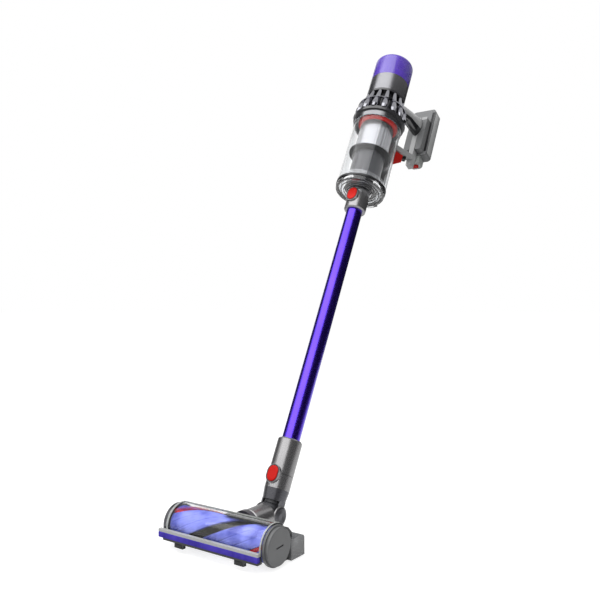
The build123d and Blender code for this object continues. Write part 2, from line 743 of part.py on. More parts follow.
def cyclone_body():
    throat = core_tip() - CYCLONE_WALL
    points = [(throat, SEAL_END), (PLUG_RADIUS, SEAL_END), (PLUG_RADIUS, RIM_END), (TRAY_RADIUS, RIM_END)]
    points += [(TRAY_RADIUS, TRAY_END), (PACK_CORE, TRAY_END), (core_tip(), CONE_TOP)]
    points += [(MOTOR_RADIUS, CONE_TOP)]
    points += [(MOTOR_RADIUS, PACK_TOP), (throat, PACK_TOP)]
    return turned(points)


def core_tip():
    """Radius of the tapered core at the top of the cones."""
    return CONE_TIP_RING - CONE_TIP


def cone_ring(station):
    """Radius of the circle that the cone axes lie on at a station."""
    share = (station - TRAY_END) / (CONE_TOP - TRAY_END)
    return CUP_RING + share * (CONE_TIP_RING - CUP_RING)


def cyclone_cones():
    sections = [(TRAY_END, CUP_FOOT), (TRAY_END + CUP_RISE, CUP_RADIUS)]
    sections += [(CUP_END, CUP_RADIUS - CONE_STEP / 2)]
    sections += [(CUP_END + CONE_STEP, CUP_RADIUS - 1.5 * CONE_STEP), (CONE_TOP, CONE_TIP)]
    circles = [Pos(cone_ring(station), 0, station) * Circle(radius) for station, radius in sections]
    cone = loft(circles, ruled=True)
    core = turned([(0, TRAY_END), (PACK_CORE, TRAY_END), (core_tip(), CONE_TOP), (0, CONE_TOP)])
    ring = [Rot(0, 0, 90 + 360 * index / CONE_COUNT) * cone for index in range(CONE_COUNT)]
    return [piece - core for piece in ring]


def pack_room():
    """The space of the cyclones and the motor, as a cutting shape."""
    wide = CUP_RING + CUP_RADIUS + EASY
    neck = cone_ring(CUP_END) + CUP_RADIUS + EASY
    points = [(0, RIM_END), (wide, RIM_END), (wide, TRAY_END + CUP_RISE), (neck, CUP_END)]
    points += [(MOTOR_RADIUS + EASY, CONE_TOP), (MOTOR_RADIUS, CONE_TOP), (MOTOR_RADIUS, MOTOR_END)]
    points += [(MOTOR_RADIUS + EASY, MOTOR_END), (MOTOR_RADIUS + EASY, FILTER_END + EASY)]
    points += [(0, FILTER_END + EASY)]
    return turned(points)


# Motor and filter

def motor_housing():
    inner = MOTOR_RADIUS - MOTOR_WALL
    spigot = NECK_SPIGOT - MOTOR_WALL
    points = [(inner, PACK_TOP), (MOTOR_RADIUS, PACK_TOP), (MOTOR_RADIUS, MOTOR_END)]
    points += [(NECK_SPIGOT, MOTOR_END)]
    points += [(NECK_SPIGOT, MOTOR_END + NECK_SPIGOT_LENGTH), (spigot, MOTOR_END + NECK_SPIGOT_LENGTH)]
    points += [(spigot, MOTOR_END - MOTOR_WALL), (inner, MOTOR_END - MOTOR_WALL)]
    return turned(points)


def stator_start():
    return PACK_TOP + 0.3 * (MOTOR_END - PACK_TOP)


def motor_stator():
    start = stator_start()
    end = MOTOR_END - MOTOR_WALL
    flange = MOTOR_RADIUS - MOTOR_WALL
    hole = SHAFT_RADIUS + RUNNING
    points = [(hole, start), (STATOR_RADIUS, start), (STATOR_RADIUS, end - 6), (flange, end - 6)]
    points += [(flange, end), (hole, end)]
    return turned(points)


def impeller():
    end = stator_start() - EASY
    start = PACK_TOP + EASY
    hub = turned([(0, start), (8, start), (IMPELLER_RADIUS, end - 2), (IMPELLER_RADIUS, end), (0, end)])
    blade = block(6, IMPELLER_RADIUS - 1, -0.8, 0.8, start + 1, end - 1)
    blades = [Rot(0, 0, 360 * index / IMPELLER_BLADES) * blade for index in range(IMPELLER_BLADES)]
    return hub + blades + rod(SHAFT_RADIUS, start, MOTOR_END)


def rounded_top(radius, start, end, edge):
    """A round bar whose far rim is rounded."""
    bar = rod(radius, start, end)
    return fillet(bar.faces().sort_by(Axis.Z)[-1].edges(), edge)


def filter_shell():
    fit = NECK_SPIGOT + RUNNING
    shoulder = MOTOR_END + NECK_SPIGOT_LENGTH + EASY
    inner = MOTOR_RADIUS - FILTER_WALL
    outside = rounded_top(MOTOR_RADIUS, MOTOR_END, FILTER_END, FILTER_EDGE)
    inside = rounded_top(inner, shoulder, FILTER_END - FILTER_WALL, FILTER_EDGE - FILTER_WALL)
    return outside - inside - rod(fit, MOTOR_END - OVERCUT, shoulder + OVERCUT)


def filter_media():
    outer = MOTOR_RADIUS - FILTER_EDGE
    start = MOTOR_END + NECK_SPIGOT_LENGTH + EASY
    return tube(outer, outer - MEDIA_WALL, start, FILTER_END - FILTER_WALL)


# Handle and battery

def grip_centre(drop):
    """Point of the grip axis at a distance from the body axis."""
    return Vector(0, drop, GRIP_FOOT + drop * math.tan(math.radians(GRIP_TILT)))


def grip_section(drop, inset):
    """The oval across the grip at a distance from the body axis; its foot flares to the front."""
    share = max(0, (drop - GRIP_WAIST) / (SHOE_TOP - GRIP_WAIST))
    slope = math.cos(math.radians(GRIP_TILT))
    depth = GRIP_DEPTH / slope + share * GRIP_FLARE
    station = grip_centre(drop).Z - share * GRIP_FLARE / 2
    plane = Plane(origin=(0, drop, station), x_dir=(1, 0, 0), z_dir=(0, 1, 0))
    return plane * Ellipse(GRIP_WIDTH / 2 - inset, depth / 2 - inset)


def grip_column(inset, start, end):
    """The oval column of the grip between two distances from the body axis."""
    column = loft([grip_section(start, inset), grip_section(GRIP_WAIST, inset)], ruled=True)
    return column + loft([grip_section(GRIP_WAIST, inset), grip_section(end, inset)], ruled=True)


def grip_pocket():
    """The hollow inside the grip."""
    return grip_column(GRIP_WALL, MOTOR_RADIUS + 4 * GRIP_WALL, SHOE_TOP - GRIP_WALL)


def grip():
    outside = grip_column(0, GRIP_ROOT, SHOE_TOP) - pack_room()
    room = trigger_block(EASY, TRIGGER_TRAVEL + OVERCUT)
    return outside - grip_pocket() - room


def trigger_block(clear, deeper):
    """The trigger's outline, grown for its slot."""
    base = grip_centre(TRIGGER_DROP)
    plane = Plane(origin=base, x_dir=(1, 0, 0), z_dir=GRIP_AXIS)
    front = GRIP_DEPTH / 2 + TRIGGER_PROUD
    width = TRIGGER_WIDTH / 2 + clear
    height = TRIGGER_HEIGHT / 2 + clear
    piece = block(-width, width, front - TRIGGER_DEPTH - deeper, front, -height, height)
    edges = piece.edges().filter_by(Axis.X).group_by(Axis.Y)[-1]
    return plane.location * fillet(edges, TRIGGER_EDGE)


def trigger():
    return trigger_block(0, 0)


def control_board():
    plane = Plane(origin=grip_centre(BOARD_START), x_dir=(1, 0, 0), z_dir=GRIP_AXIS)
    half = BOARD_THICKNESS / 2
    slab = plane.location * block(-GRIP_WIDTH, GRIP_WIDTH, -half, half, 0, BOARD_LENGTH)
    return (slab & grip_pocket()).solids()[0]


def battery_shoe():
    half = SHOE_WIDTH / 2
    bar = block(-half, half, SHOE_TOP, BATTERY_TOP, SHOE_START, SHOE_END)
    return fillet(bar.edges().filter_by(Axis.Y).group_by(Axis.Z)[-1], half - OVERCUT)


def battery_case():
    half = BATTERY_WIDTH / 2
    case = block(-half, half, BATTERY_TOP, BATTERY_BOTTOM, BATTERY_START, BATTERY_END)
    case = fillet(case.edges().filter_by(Axis.Y), BATTERY_CORNER)
    inset = BATTERY_WALL
    depth = (BATTERY_TOP + inset, BATTERY_BOTTOM - inset)
    length = (BATTERY_START + inset, BATTERY_END - inset)
    inside = block(-half + inset, half - inset, *depth, *length)
    case -= fillet(inside.edges().filter_by(Axis.Y), BATTERY_CORNER - inset)
    near = SHOE_WIDTH / 2 + EASY
    skid = block(near, near + SKID_WIDTH, SHOE_TOP + EASY, BATTERY_TOP, SKID_START, SKID_END)
    skid = fillet(skid.edges().filter_by(Axis.Y), SKID_WIDTH / 3)
    return case + skid + mirror(skid, Plane.YZ)


def battery_cells():
    y = BATTERY_BOTTOM - BATTERY_WALL - CELL_RADIUS
    pitch = 2 * CELL_RADIUS + EASY
    first = (BATTERY_START + BATTERY_END - (CELL_COUNT - 1) * pitch) / 2
    half = CELL_LENGTH / 2
    return [cross_bar(CELL_RADIUS, -half, half, y, first + index * pitch) for index in range(CELL_COUNT)]


def latch_guard():
    half = GUARD_WIDTH / 2
    top = BATTERY_TOP + GUARD_INSET
    bottom = BATTERY_BOTTOM - GUARD_INSET
    guard = block(-half, half, top, bottom, BATTERY_START - GUARD_LENGTH, BATTERY_START)
    guard = fillet(guard.edges().filter_by(Axis.Y).group_by(Axis.Z)[0], half / 2)
    return guard - latch_block(EASY, LATCH_PROUD + EASY)


def latch_block(clear, deeper):
    """The battery release, or its slot when grown."""
    half = LATCH_WIDTH / 2 + clear
    middle = (BATTERY_TOP + BATTERY_BOTTOM) / 2
    reach = LATCH_DEPTH / 2 + clear
    start = BATTERY_START - GUARD_LENGTH - LATCH_PROUD
    return block(-half, half, middle - reach, middle + reach, start, start + LATCH_LENGTH + deeper)


def battery_release():
    return latch_block(0, 0)


def bin_rail():
    half = RAIL_WIDTH / 2
    bar = block(-half, half, 0, RAIL_BOTTOM, RAIL_START, RIM_END)
    return bar - rod(RIM_RADIUS + EASY, 0, 2 * RIM_END)


def strut_line():
    start = Vector(0, RAIL_BOTTOM, STRUT_START)
    end = Vector(0, SHOE_TOP, STRUT_END)
    return start, end


def front_strut():
    start, end = strut_line()
    along = (end - start).normalized()
    plane = Plane(origin=start - along * 20, x_dir=(1, 0, 0), z_dir=along)
    section = RectangleRounded(STRUT_WIDTH, STRUT_DEPTH, STRUT_DEPTH / 4)
    beam = extrude(plane * section, (end - start).length + 40)
    return beam & block(-STRUT_WIDTH, STRUT_WIDTH, RAIL_BOTTOM, SHOE_TOP, 0, FILTER_END)


def charging_socket():
    start, end = strut_line()
    share = (SOCKET_DROP - start.Y) / (end.Y - start.Y)
    middle = start.Z + share * (end.Z - start.Z)
    top = middle - STRUT_DEPTH / 2
    boss = Pos(0, SOCKET_DROP, top - SOCKET_LENGTH + 8) * rod(SOCKET_RADIUS, 0, SOCKET_LENGTH)
    bore = Pos(0, SOCKET_DROP, top - SOCKET_LENGTH + 8) * rod(SOCKET_BORE, -1, SOCKET_DEPTH)
    return (boss - bore - front_strut()).solids().sort_by(Axis.Z)[0]


def bin_lever():
    """The red slide on the rail; its nose runs out under the strut."""
    near = RAIL_BOTTOM + LEVER_GAP
    far = near + LEVER_DEPTH
    end = LEVER_START + LEVER_LENGTH
    points = [(near, LEVER_START), (near + LEVER_DEPTH / 4, LEVER_START + LEVER_RISE / 4)]
    points += [(far, end), (far, end + LEVER_RISE), (near, end)]
    side = make_face(Polyline(*[(0, y, z) for y, z in points], close=True))
    return extrude(side, LEVER_WIDTH / 2, both=True, dir=(1, 0, 0))


# The finished pieces, each where it stands

def head_pieces():
    pieces = {
        "head_housing": head_housing(), "head_visor": head_visor(), "seal_strip": seal_strip(),
        "left_cap": left_cap(), "end_cap": end_cap(),
        "front_trim": front_trim(), "front_felt": front_felt(),
        "front_lip": front_lip(), "sole_plate": sole_plate(), "glide_strip": glide_strip(),
        "swivel_ring": swivel_ring(),
        "wheel_covers": wheel_covers(), "brush_motor": brush_motor(), "brush_core": brush_core(),
        "brush_nap": brush_nap(), "carbon_bristles": carbon_bristles(), "nylon_bristles": nylon_bristles(),
        "neck_tube": neck_tube(), "neck_pins": neck_pins(), "neck_bellows": neck_bellows(),
        "wheel_right": rear_wheel(), "wheel_left": mirror(rear_wheel(), Plane.YZ),
    }
    for side, sign in (("left", -1), ("right", 1)):
        pieces["roller_" + side] = Pos(sign * ROLLER_OFFSET, 0, 0) * front_roller()
    return pieces


def stick_pieces():
    return {
        "neck_cone": neck_cone(), "neck_collar": neck_collar(), "neck_sleeve": neck_sleeve(),
        "neck_button": release_button(LOWER_BUTTON, SLEEVE_RADIUS), "wand_tube": wand_tube(),
        "wand_collar": wand_collar(), "wand_button": release_button(UPPER_BUTTON, COLLAR_RADIUS),
        "bin_wall": bin_wall(), "bin_rim": bin_rim(), "bin_ring": bin_ring(), "bin_flap": bin_flap(),
        "flap_seal": flap_seal(), "inlet_duct": inlet_duct(), "shroud_skirt": shroud_skirt(),
        "shroud_mesh": shroud_mesh(), "bin_seal": bin_seal(), "cyclone_body": cyclone_body(),
        "cyclone_cones": cyclone_cones(), "motor_housing": motor_housing(), "motor_stator": motor_stator(),
        "impeller": impeller(), "filter_shell": filter_shell(), "filter_media": filter_media(),
        "grip": grip(),
        "trigger": trigger(), "control_board": control_board(), "battery_shoe": battery_shoe(),
        "battery_case": battery_case(), "battery_cells": battery_cells(), "latch_guard": latch_guard(),
        "battery_release": battery_release(), "bin_rail": bin_rail(), "front_strut": front_strut(),
        "charging_socket": charging_socket(), "bin_lever": bin_lever(),
    }


def placed(place, piece):
    """A piece or a group of like pieces, moved to its place."""
    if isinstance(piece, list):
        return Compound([place * solid for item in piece for solid in item.solids()])
    return place * piece


def main():
    os.makedirs("parts", exist_ok=True)
    for place, pieces in ((HEAD, head_pieces()), (STICK, stick_pieces())):
        for name, piece in pieces.items():
            export_step(placed(place, piece), os.path.join("parts", name + ".step"))


main()
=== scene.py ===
import math
import random

import bmesh
import bpy
from mathutils import Matrix, Vector, noise


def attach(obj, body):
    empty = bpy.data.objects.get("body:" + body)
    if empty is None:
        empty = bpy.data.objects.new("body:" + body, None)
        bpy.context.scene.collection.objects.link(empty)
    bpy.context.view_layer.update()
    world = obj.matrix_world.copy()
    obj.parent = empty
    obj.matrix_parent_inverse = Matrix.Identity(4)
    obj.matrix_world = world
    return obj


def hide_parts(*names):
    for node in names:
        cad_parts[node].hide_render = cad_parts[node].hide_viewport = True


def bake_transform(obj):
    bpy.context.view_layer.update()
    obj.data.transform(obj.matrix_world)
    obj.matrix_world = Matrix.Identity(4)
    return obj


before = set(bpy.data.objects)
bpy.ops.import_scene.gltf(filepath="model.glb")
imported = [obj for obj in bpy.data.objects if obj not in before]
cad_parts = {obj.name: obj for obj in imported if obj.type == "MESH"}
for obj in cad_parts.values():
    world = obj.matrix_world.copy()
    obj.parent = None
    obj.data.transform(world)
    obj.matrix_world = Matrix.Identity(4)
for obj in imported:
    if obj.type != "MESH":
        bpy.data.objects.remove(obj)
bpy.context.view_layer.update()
scene = bpy.context.scene
scene.view_settings.view_transform = "Standard"

# Sizes shared with the solids, in millimetres and degrees
LEAN = math.radians(27.4)
PIVOT_Y = 90.0
BRUSH_Y = -44.0
AXIS_HEIGHT = 39.0
SHELL_HALF = 113.0
BRUSH_HALF = 110.0
CORE_RADIUS = 25.0
NAP_RADIUS = 31.5
BACKING_RADIUS = 28.0
TIP_RADIUS = 36.0
TWIST = 0.93
CARBON_MIDDLE = 31.0
CARBON_WIDTH = 30.0
NYLON_OFFSET = 125.0
NYLON_WIDTH = 13.0
VISOR_INNER = 36.8
VISOR_OUTER = 38.4
VISOR_FOOT = -13
VISOR_CREST = 98
LEFT_HOOP = 4.5
RIGHT_HOOP = 3.0
ELBOW_Y = 134.0
UPPER_BUTTON = 758.0
LOWER_BUTTON = 76.0
BUTTON_BASE = 25.5
BUTTON_RADIUS = 12.0
BUTTON_STRAIGHT = 4.0
FLAP_TOP = 790.3
FLAP_FACE = 780.2
LEDGE_RADIUS = 63.4
LEDGE_STATION = 1030.4
MOTOR_RADIUS = 50.0
FILTER_START = 1121.2
FILTER_TOP = 1187.0
GRIP_TILT = math.radians(22.0)
GRIP_START = 60.0
GRIP_FLARE = 118.0
GRIP_END = 183.0
CASE_LOW = 1060.0
CASE_HIGH = 1203.0


# Places on the object

def stick(x, drop, station):
    """A point of the leaning stick: across, towards the battery, and along the wand from the neck pivot."""
    y = PIVOT_Y + drop * math.cos(LEAN) + station * math.sin(LEAN)
    z = AXIS_HEIGHT - drop * math.sin(LEAN) + station * math.cos(LEAN)
    return Vector((x, y, z)) / 1000


def stick_round(radius, station, turn):
    """A point round the wand axis."""
    return stick(radius * math.cos(turn), radius * math.sin(turn), station)


def head(x, y, z):
    """A point of the cleaner head, with y measured back from the brush axis."""
    return Vector((x, BRUSH_Y + y, z)) / 1000


def head_round(x, radius, angle):
    """A point round the brush axis; the angle is in degrees above the front."""
    turn = math.radians(angle)
    return head(x, -radius * math.cos(turn), AXIS_HEIGHT + radius * math.sin(turn))


# Colours and shader nodes

def linear(code):
    """An sRGB hex colour as linear RGBA."""
    parts = [int(code[i:i + 2], 16) / 255 for i in (1, 3, 5)]
    return [c / 12.92 if c <= 0.04045 else ((c + 0.055) / 1.055) ** 2.4 for c in parts] + [1.0]


def node(tree, kind, feeds=(), **settings):
    """Adds a shader node: settings are its properties, feeds are (socket, value or output) pairs."""
    made = tree.nodes.new("ShaderNode" + kind)
    for key, value in settings.items():
        setattr(made, key, value)
    for socket, source in feeds:
        if isinstance(source, bpy.types.NodeSocket):
            tree.links.new(source, made.inputs[socket])
        else:
            made.inputs[socket].default_value = source
    return made


def per_metre(size_mm):
    """Texture scale for a feature of that size."""
    return 1000.0 / size_mm


def surface(name, colour, **sockets):
    """A material with a Principled surface and its constant sockets set."""
    material = bpy.data.materials.new(name)
    material.use_nodes = True
    tree = material.node_tree
    shader = tree.nodes["Principled BSDF"]
    shader.inputs["Base Color"].default_value = linear(colour)
    for key, value in sockets.items():
        shader.inputs[key.replace("_", " ")].default_value = value
    return material, tree, shader


# Width of the faint cloudiness in moulded plastic, in millimetres, and the depth of its grain, in metres
CLOUD_MM = 60
GRAIN_DEPTH = 0.0003


def grained(made, grain_mm, dark, light, rough, relief, stretch=(1, 1, 1)):
    """Gives a surface a grain of that size: two near colours, a roughness range and a fine relief."""
    material, tree, shader = made
    place = node(tree, "TexCoord").outputs["Object"]
    if stretch != (1, 1, 1):
        place = node(tree, "Mapping", (("Vector", place), ("Scale", stretch),
                                       ("Rotation", (LEAN, 0, 0)))).outputs["Vector"]
    grain = node(tree, "TexNoise", (("Vector", place), ("Scale", per_metre(grain_mm)), ("Detail", 4.0)))
    cloud = node(tree, "TexNoise", (("Vector", place), ("Scale", per_metre(CLOUD_MM * max(stretch))),
                                    ("Detail", 2.0)))
    both = node(tree, "Math", ((0, grain.outputs["Fac"]), (1, cloud.outputs["Fac"])), operation="ADD")
    mean = node(tree, "Math", ((0, both.outputs[0]), (1, 0.5)), operation="MULTIPLY")
    ramp = node(tree, "ValToRGB", (("Fac", mean.outputs[0]),))
    for element, place_on, code in zip(ramp.color_ramp.elements, (0.3, 0.7), (dark, light)):
        element.position = place_on
        element.color = linear(code)
    tree.links.new(ramp.outputs["Color"], shader.inputs["Base Color"])
    spread = node(tree, "MapRange", (("Value", grain.outputs["Fac"]), ("From Min", 0.3), ("From Max", 0.7),
                                     ("To Min", rough[0]), ("To Max", rough[1])))
    tree.links.new(spread.outputs["Result"], shader.inputs["Roughness"])
    bump = node(tree, "Bump", (("Height", grain.outputs["Fac"]), ("Strength", relief),
                               ("Distance", GRAIN_DEPTH)))
    tree.links.new(bump.outputs["Normal"], shader.inputs["Normal"])
    return material


def lit_through(made):
    """Lets light reach what lies behind a clear wall."""
    material, tree, shader = made
    path = node(tree, "LightPath")
    open_way = node(tree, "BsdfTransparent")
    mixed = node(tree, "MixShader", ((0, path.outputs["Is Shadow Ray"]), (1, shader.outputs[0]),
                                     (2, open_way.outputs[0])))
    tree.links.new(mixed.outputs[0], tree.nodes["Material Output"].inputs["Surface"])
    return material


# Materials

# Anodised aluminium tube, drawn lengthwise: saturated violet with a soft metallic streak along the tube.
violet_anodised = grained(surface("violet_anodised_aluminium", "#4a28c8", Metallic=1.0, Coat_Weight=0.5,
                                  Coat_Roughness=0.2),
                          1.2, "#4220b8", "#5a38da", (0.24, 0.34), 0.04, (1, 1, 0.03))

# Metallic-pigment ABS, moulded satin: silver grey with a tiny flake sparkle.
silver_abs = grained(surface("satin_silver_abs", "#8e8d8e", Metallic=0.75),
                     0.9, "#807f80", "#979697", (0.24, 0.32), 0.05)

# Iron-grey metallic ABS, moulded satin: darker than the collars, with the same flake.
iron_abs = grained(surface("satin_iron_abs", "#58585c", Metallic=0.6),
                   0.9, "#4b4b50", "#626266", (0.24, 0.34), 0.06)

# Gunmetal paint on the motor housing: smooth, with a crisp light edge and a fine flake.
gunmetal = grained(surface("gunmetal_paint", "#77777a", Metallic=0.9, Coat_Weight=0.4, Coat_Roughness=0.05),
                   0.8, "#6c6c70", "#808083", (0.2, 0.26), 0.03)

# Dark chrome plating on ABS: almost a mirror, with faint moulding waves.
dark_chrome = grained(surface("dark_chrome_plating", "#8e8e94", Metallic=1.0),
                      14.0, "#7c7c82", "#9c9ca2", (0.05, 0.09), 0.03)

# Piano-black ABS of the cyclone core: the dark ground that sets off the plated cones.
core_black = grained(surface("gloss_core_abs", "#26262a", Coat_Weight=0.4, Coat_Roughness=0.08),
                     1.2, "#1e1e21", "#2f2f33", (0.24, 0.34), 0.04)

# Red ABS, gloss moulded: deep warm red with a clear highlight.
red_abs = grained(surface("gloss_red_abs", "#cc140a", Specular_IOR_Level=0.15),
                  1.0, "#c01007", "#d6180c", (0.34, 0.42), 0.04)

# Red silicone seal: softer and a little duller than the buttons.
red_silicone = grained(surface("red_silicone", "#c4120a", Specular_IOR_Level=0.15),
                       0.7, "#b80f07", "#d0160b", (0.55, 0.68), 0.08)

# Black ABS, fine spark-eroded texture: near black with a satin shine.
black_abs = grained(surface("satin_black_abs", "#1b1b1d"), 0.7, "#141416", "#232326", (0.28, 0.4), 0.12)

# Black ABS with a dry eroded face, used inside the bin: hardly shines.
matt_black = grained(surface("matt_black_abs", "#161617", Specular_IOR_Level=0.3),
                     0.6, "#101011", "#1c1c1e", (0.55, 0.68), 0.15)

# Dark gloss ABS of the grip front and the trigger: black with sharp highlights.
gloss_black = grained(surface("gloss_black_abs", "#202023", Coat_Weight=0.8, Coat_Roughness=0.06),
                      1.1, "#19191b", "#28282b", (0.2, 0.28), 0.05)

# Graphite ABS of the dust duct: dark grey with a broad satin sheen.
graphite = grained(surface("satin_graphite_abs", "#38383b", Metallic=0.35),
                   0.9, "#303033", "#404043", (0.24, 0.32), 0.05)

# Pale grey ABS, moulded satin.
pale_abs = grained(surface("satin_pale_abs", "#b4b5b5"), 0.8, "#a9aaaa", "#bebfbf", (0.3, 0.4), 0.07)

# Mid grey ABS of the end cap: even matt texture.
cap_abs = grained(surface("matt_grey_abs", "#6d6e6f", Metallic=0.15),
                  0.6, "#646566", "#777879", (0.4, 0.52), 0.14)

# Battery case: mid grey PC/ABS blend with a dry eroded texture.
battery_grey = grained(surface("matt_battery_plastic", "#7b7c7d"),
                       0.6, "#707172", "#868788", (0.45, 0.58), 0.18)

# Charcoal grey TPE of the neck hose: a shade under the neck shells, with a soft shine on each rib.
hose_rubber = grained(surface("charcoal_hose_rubber", "#3e3e42"),
                      0.7, "#353539", "#48484c", (0.36, 0.48), 0.12)

# Rubber and steel of the small running parts.
black_rubber = grained(surface("black_rubber", "#161616"), 0.5, "#101010", "#1e1e1e", (0.6, 0.75), 0.2)
ground_steel = grained(surface("ground_steel", "#a8a8aa", Metallic=1.0),
                       0.4, "#98989a", "#b6b6b8", (0.22, 0.34), 0.08)

# Hidden pieces: drawn motor cans, cell sleeves, board lacquer and pleated filter paper.
motor_can = grained(surface("drawn_motor_can", "#8d8d90", Metallic=1.0),
                    0.8, "#7e7e82", "#9c9ca0", (0.25, 0.38), 0.06)
cell_sleeve = grained(surface("cell_sleeve_film", "#5a7890"), 1.5, "#4f6c84", "#64849c", (0.25, 0.35), 0.03)
board_lacquer = grained(surface("board_lacquer", "#1d5a30"), 0.8, "#174c28", "#236838", (0.25, 0.4), 0.1)
filter_paper = grained(surface("filter_paper", "#c9c2e2"), 0.7, "#b9b0d8", "#d6d0ea", (0.75, 0.9), 0.3)

# Injection-moulded clear polycarbonate: water clear, sharp reflections, faint flow lines.
clear_pc = lit_through(surface("clear_polycarbonate", "#fbfcfd", Transmission_Weight=1.0, IOR=1.5,
                               Roughness=0.02))

# Coated clear polycarbonate of the brush visor and the bin: clear, with little glare.
visor_pc = lit_through(surface("coated_clear_polycarbonate", "#fbfcfd", Transmission_Weight=1.0, IOR=1.3,
                               Roughness=0.02, Specular_IOR_Level=0.3))

# Clear polycarbonate edges, seen along their thickness: frosted, and pale grey as a painted highlight of the
# light that clear edges catch.
clear_edge_highlight = grained(surface("clear_polycarbonate_edge_highlight", "#c9ccca", Transmission_Weight=0.35, IOR=1.5),
                       0.9, "#bec2bf", "#d5d8d6", (0.22, 0.34), 0.05)

# Smoked polycarbonate of the rear wheel covers: grey and see-through, cloudy inside.
smoked_pc = grained(surface("smoked_polycarbonate", "#909193", Transmission_Weight=0.45, IOR=1.5),
                    1.6, "#7e7f81", "#a3a4a6", (0.12, 0.3), 0.12)

# Violet translucent polycarbonate of the filter cap: glows where light passes, gloss outside.
violet_pc = grained(surface("translucent_violet_polycarbonate", "#6a3be0", Transmission_Weight=0.25, IOR=1.5,
                            Coat_Weight=0.7, Coat_Roughness=0.12),
                    2.0, "#4c28b8", "#653cd0", (0.16, 0.24), 0.03)


# The real shroud holes are about 0.3 mm apart; they are drawn as fine as the picture can show.
HOLE_PITCH_MM = 1.7
HOLES_PER_RADIAN = 25.0


def perforated_steel():
    """Thin etched stainless steel: pale satin metal with rows of fine round holes."""
    material, tree, shader = surface("etched_shroud_steel", "#a2a2a5", Metallic=0.9, Roughness=0.26)
    place = node(tree, "TexCoord").outputs["Object"]
    level = node(tree, "Mapping", (("Vector", place), ("Rotation", (LEAN, 0, 0))))
    axis = node(tree, "SeparateXYZ", (("Vector", level.outputs["Vector"]),))
    turn = node(tree, "Math", ((0, axis.outputs["Y"]), (1, axis.outputs["X"])), operation="ARCTAN2")
    across = node(tree, "Math", ((0, turn.outputs[0]), (1, HOLES_PER_RADIAN)), operation="MULTIPLY")
    along = node(tree, "Math", ((0, axis.outputs["Z"]), (1, per_metre(HOLE_PITCH_MM))), operation="MULTIPLY")
    spot = node(tree, "CombineXYZ", (("X", across.outputs[0]), ("Y", along.outputs[0])))
    cells = node(tree, "TexVoronoi", (("Vector", spot.outputs["Vector"]), ("Scale", 1.0),
                                      ("Randomness", 0.0)))
    hole = node(tree, "MapRange", (("Value", cells.outputs["Distance"]), ("From Min", 0.22),
                                   ("From Max", 0.36)))
    ramp = node(tree, "ValToRGB", (("Fac", hole.outputs["Result"]),))
    for element, code in zip(ramp.color_ramp.elements, ("#6c6c6f", "#a2a2a5")):
        element.color = linear(code)
    tree.links.new(ramp.outputs["Color"], shader.inputs["Base Color"])
    bump = node(tree, "Bump", (("Height", hole.outputs["Result"]), ("Strength", 0.12),
                               ("Distance", GRAIN_DEPTH)))
    tree.links.new(bump.outputs["Normal"], shader.inputs["Normal"])
    return material


def fibre(name, dark, light, thread_mm, sheen, relief, lay_mm=25, spread=(0.12, 0.36)):
    """A fibrous surface: soft, rough and edged with sheen; threads and lay patches have those widths."""
    material, tree, shader = surface(name, light, Roughness=0.9, Sheen_Weight=sheen, Sheen_Roughness=0.4)
    shader.inputs["Sheen Tint"].default_value = linear(light)
    place = node(tree, "TexCoord").outputs["Object"]
    tuft = node(tree, "TexNoise", (("Vector", place), ("Scale", per_metre(thread_mm)), ("Detail", 6.0),
                                   ("Roughness", 0.7)))
    lay = node(tree, "TexNoise", (("Vector", place), ("Scale", per_metre(lay_mm)), ("Detail", 2.0)))
    both = node(tree, "Math", ((0, tuft.outputs["Fac"]), (1, lay.outputs["Fac"])), operation="MULTIPLY")
    ramp = node(tree, "ValToRGB", (("Fac", both.outputs[0]),))
    for element, place_on, code in zip(ramp.color_ramp.elements, spread, (dark, light)):
        element.position = place_on
        element.color = linear(code)
    tree.links.new(ramp.outputs["Color"], shader.inputs["Base Color"])
    bump = node(tree, "Bump", (("Height", tuft.outputs["Fac"]), ("Strength", relief), ("Distance", 0.0006)))
    tree.links.new(bump.outputs["Normal"], shader.inputs["Normal"])
    return material


shroud_steel = perforated_steel()
# Dense needled wool felt: deep purple, matt, with a fuzzy edge.
purple_felt = fibre("needled_purple_felt", "#2f2290", "#5040c0", 0.9, 0.4, 0.6)
# Woven nylon nap, brushed one way: periwinkle, silky where it turns to the light.
lilac_nap = fibre("brushed_nylon_nap", "#242c94", "#8088dc", 0.8, 0.35, 0.5, 40, (0.17, 0.33))
# The sunk seams between the nap strips.
nap_seam = fibre("nap_seam_backing", "#20225c", "#34387c", 0.8, 0.1, 0.3)
# Carbon fibre filaments: black with a dry sheen.
carbon_filament = fibre("carbon_filament", "#080807", "#191713", 0.4, 0.0, 0.2)
# Woven tape that the carbon filaments stand in: olive black.
carbon_tape = fibre("carbon_backing_tape", "#24221a", "#4a4638", 0.7, 0.1, 0.4)
# Nylon filaments: crimson, slightly glossy.
crimson_nylon = fibre("crimson_nylon_filament", "#c00f28", "#ee2240", 0.4, 0.1, 0.2)


# Mesh making

def skin(bm, rings, wrap=False, caps=False):
    """Skins rings of points; wrap joins the last ring to the first, caps closes both ends."""
    rows = [[bm.verts.new(point) for point in ring] for ring in rings]
    following = rows[1:] + rows[:1] if wrap else rows[1:]
    for near, far in zip(rows, following):
        for index in range(len(near)):
            after = (index + 1) % len(near)
            bm.faces.new((near[index], near[after], far[after], far[index]))
    if caps:
        bm.faces.new(rows[0][::-1])
        bm.faces.new(rows[-1])


def turned(bm, place, profile, segments=96):
    """A closed profile of (radius, station) points turned about an axis."""
    turns = [2 * math.pi * index / segments for index in range(segments)]
    skin(bm, [[place(radius, station, turn) for radius, station in profile] for turn in turns], wrap=True)


def plate(bm, outer, inner):
    """A closed sheet between two grids of points of the same size."""
    rings = [row + inner_row[::-1] for row, inner_row in zip(outer, inner)]
    skin(bm, rings, caps=True)


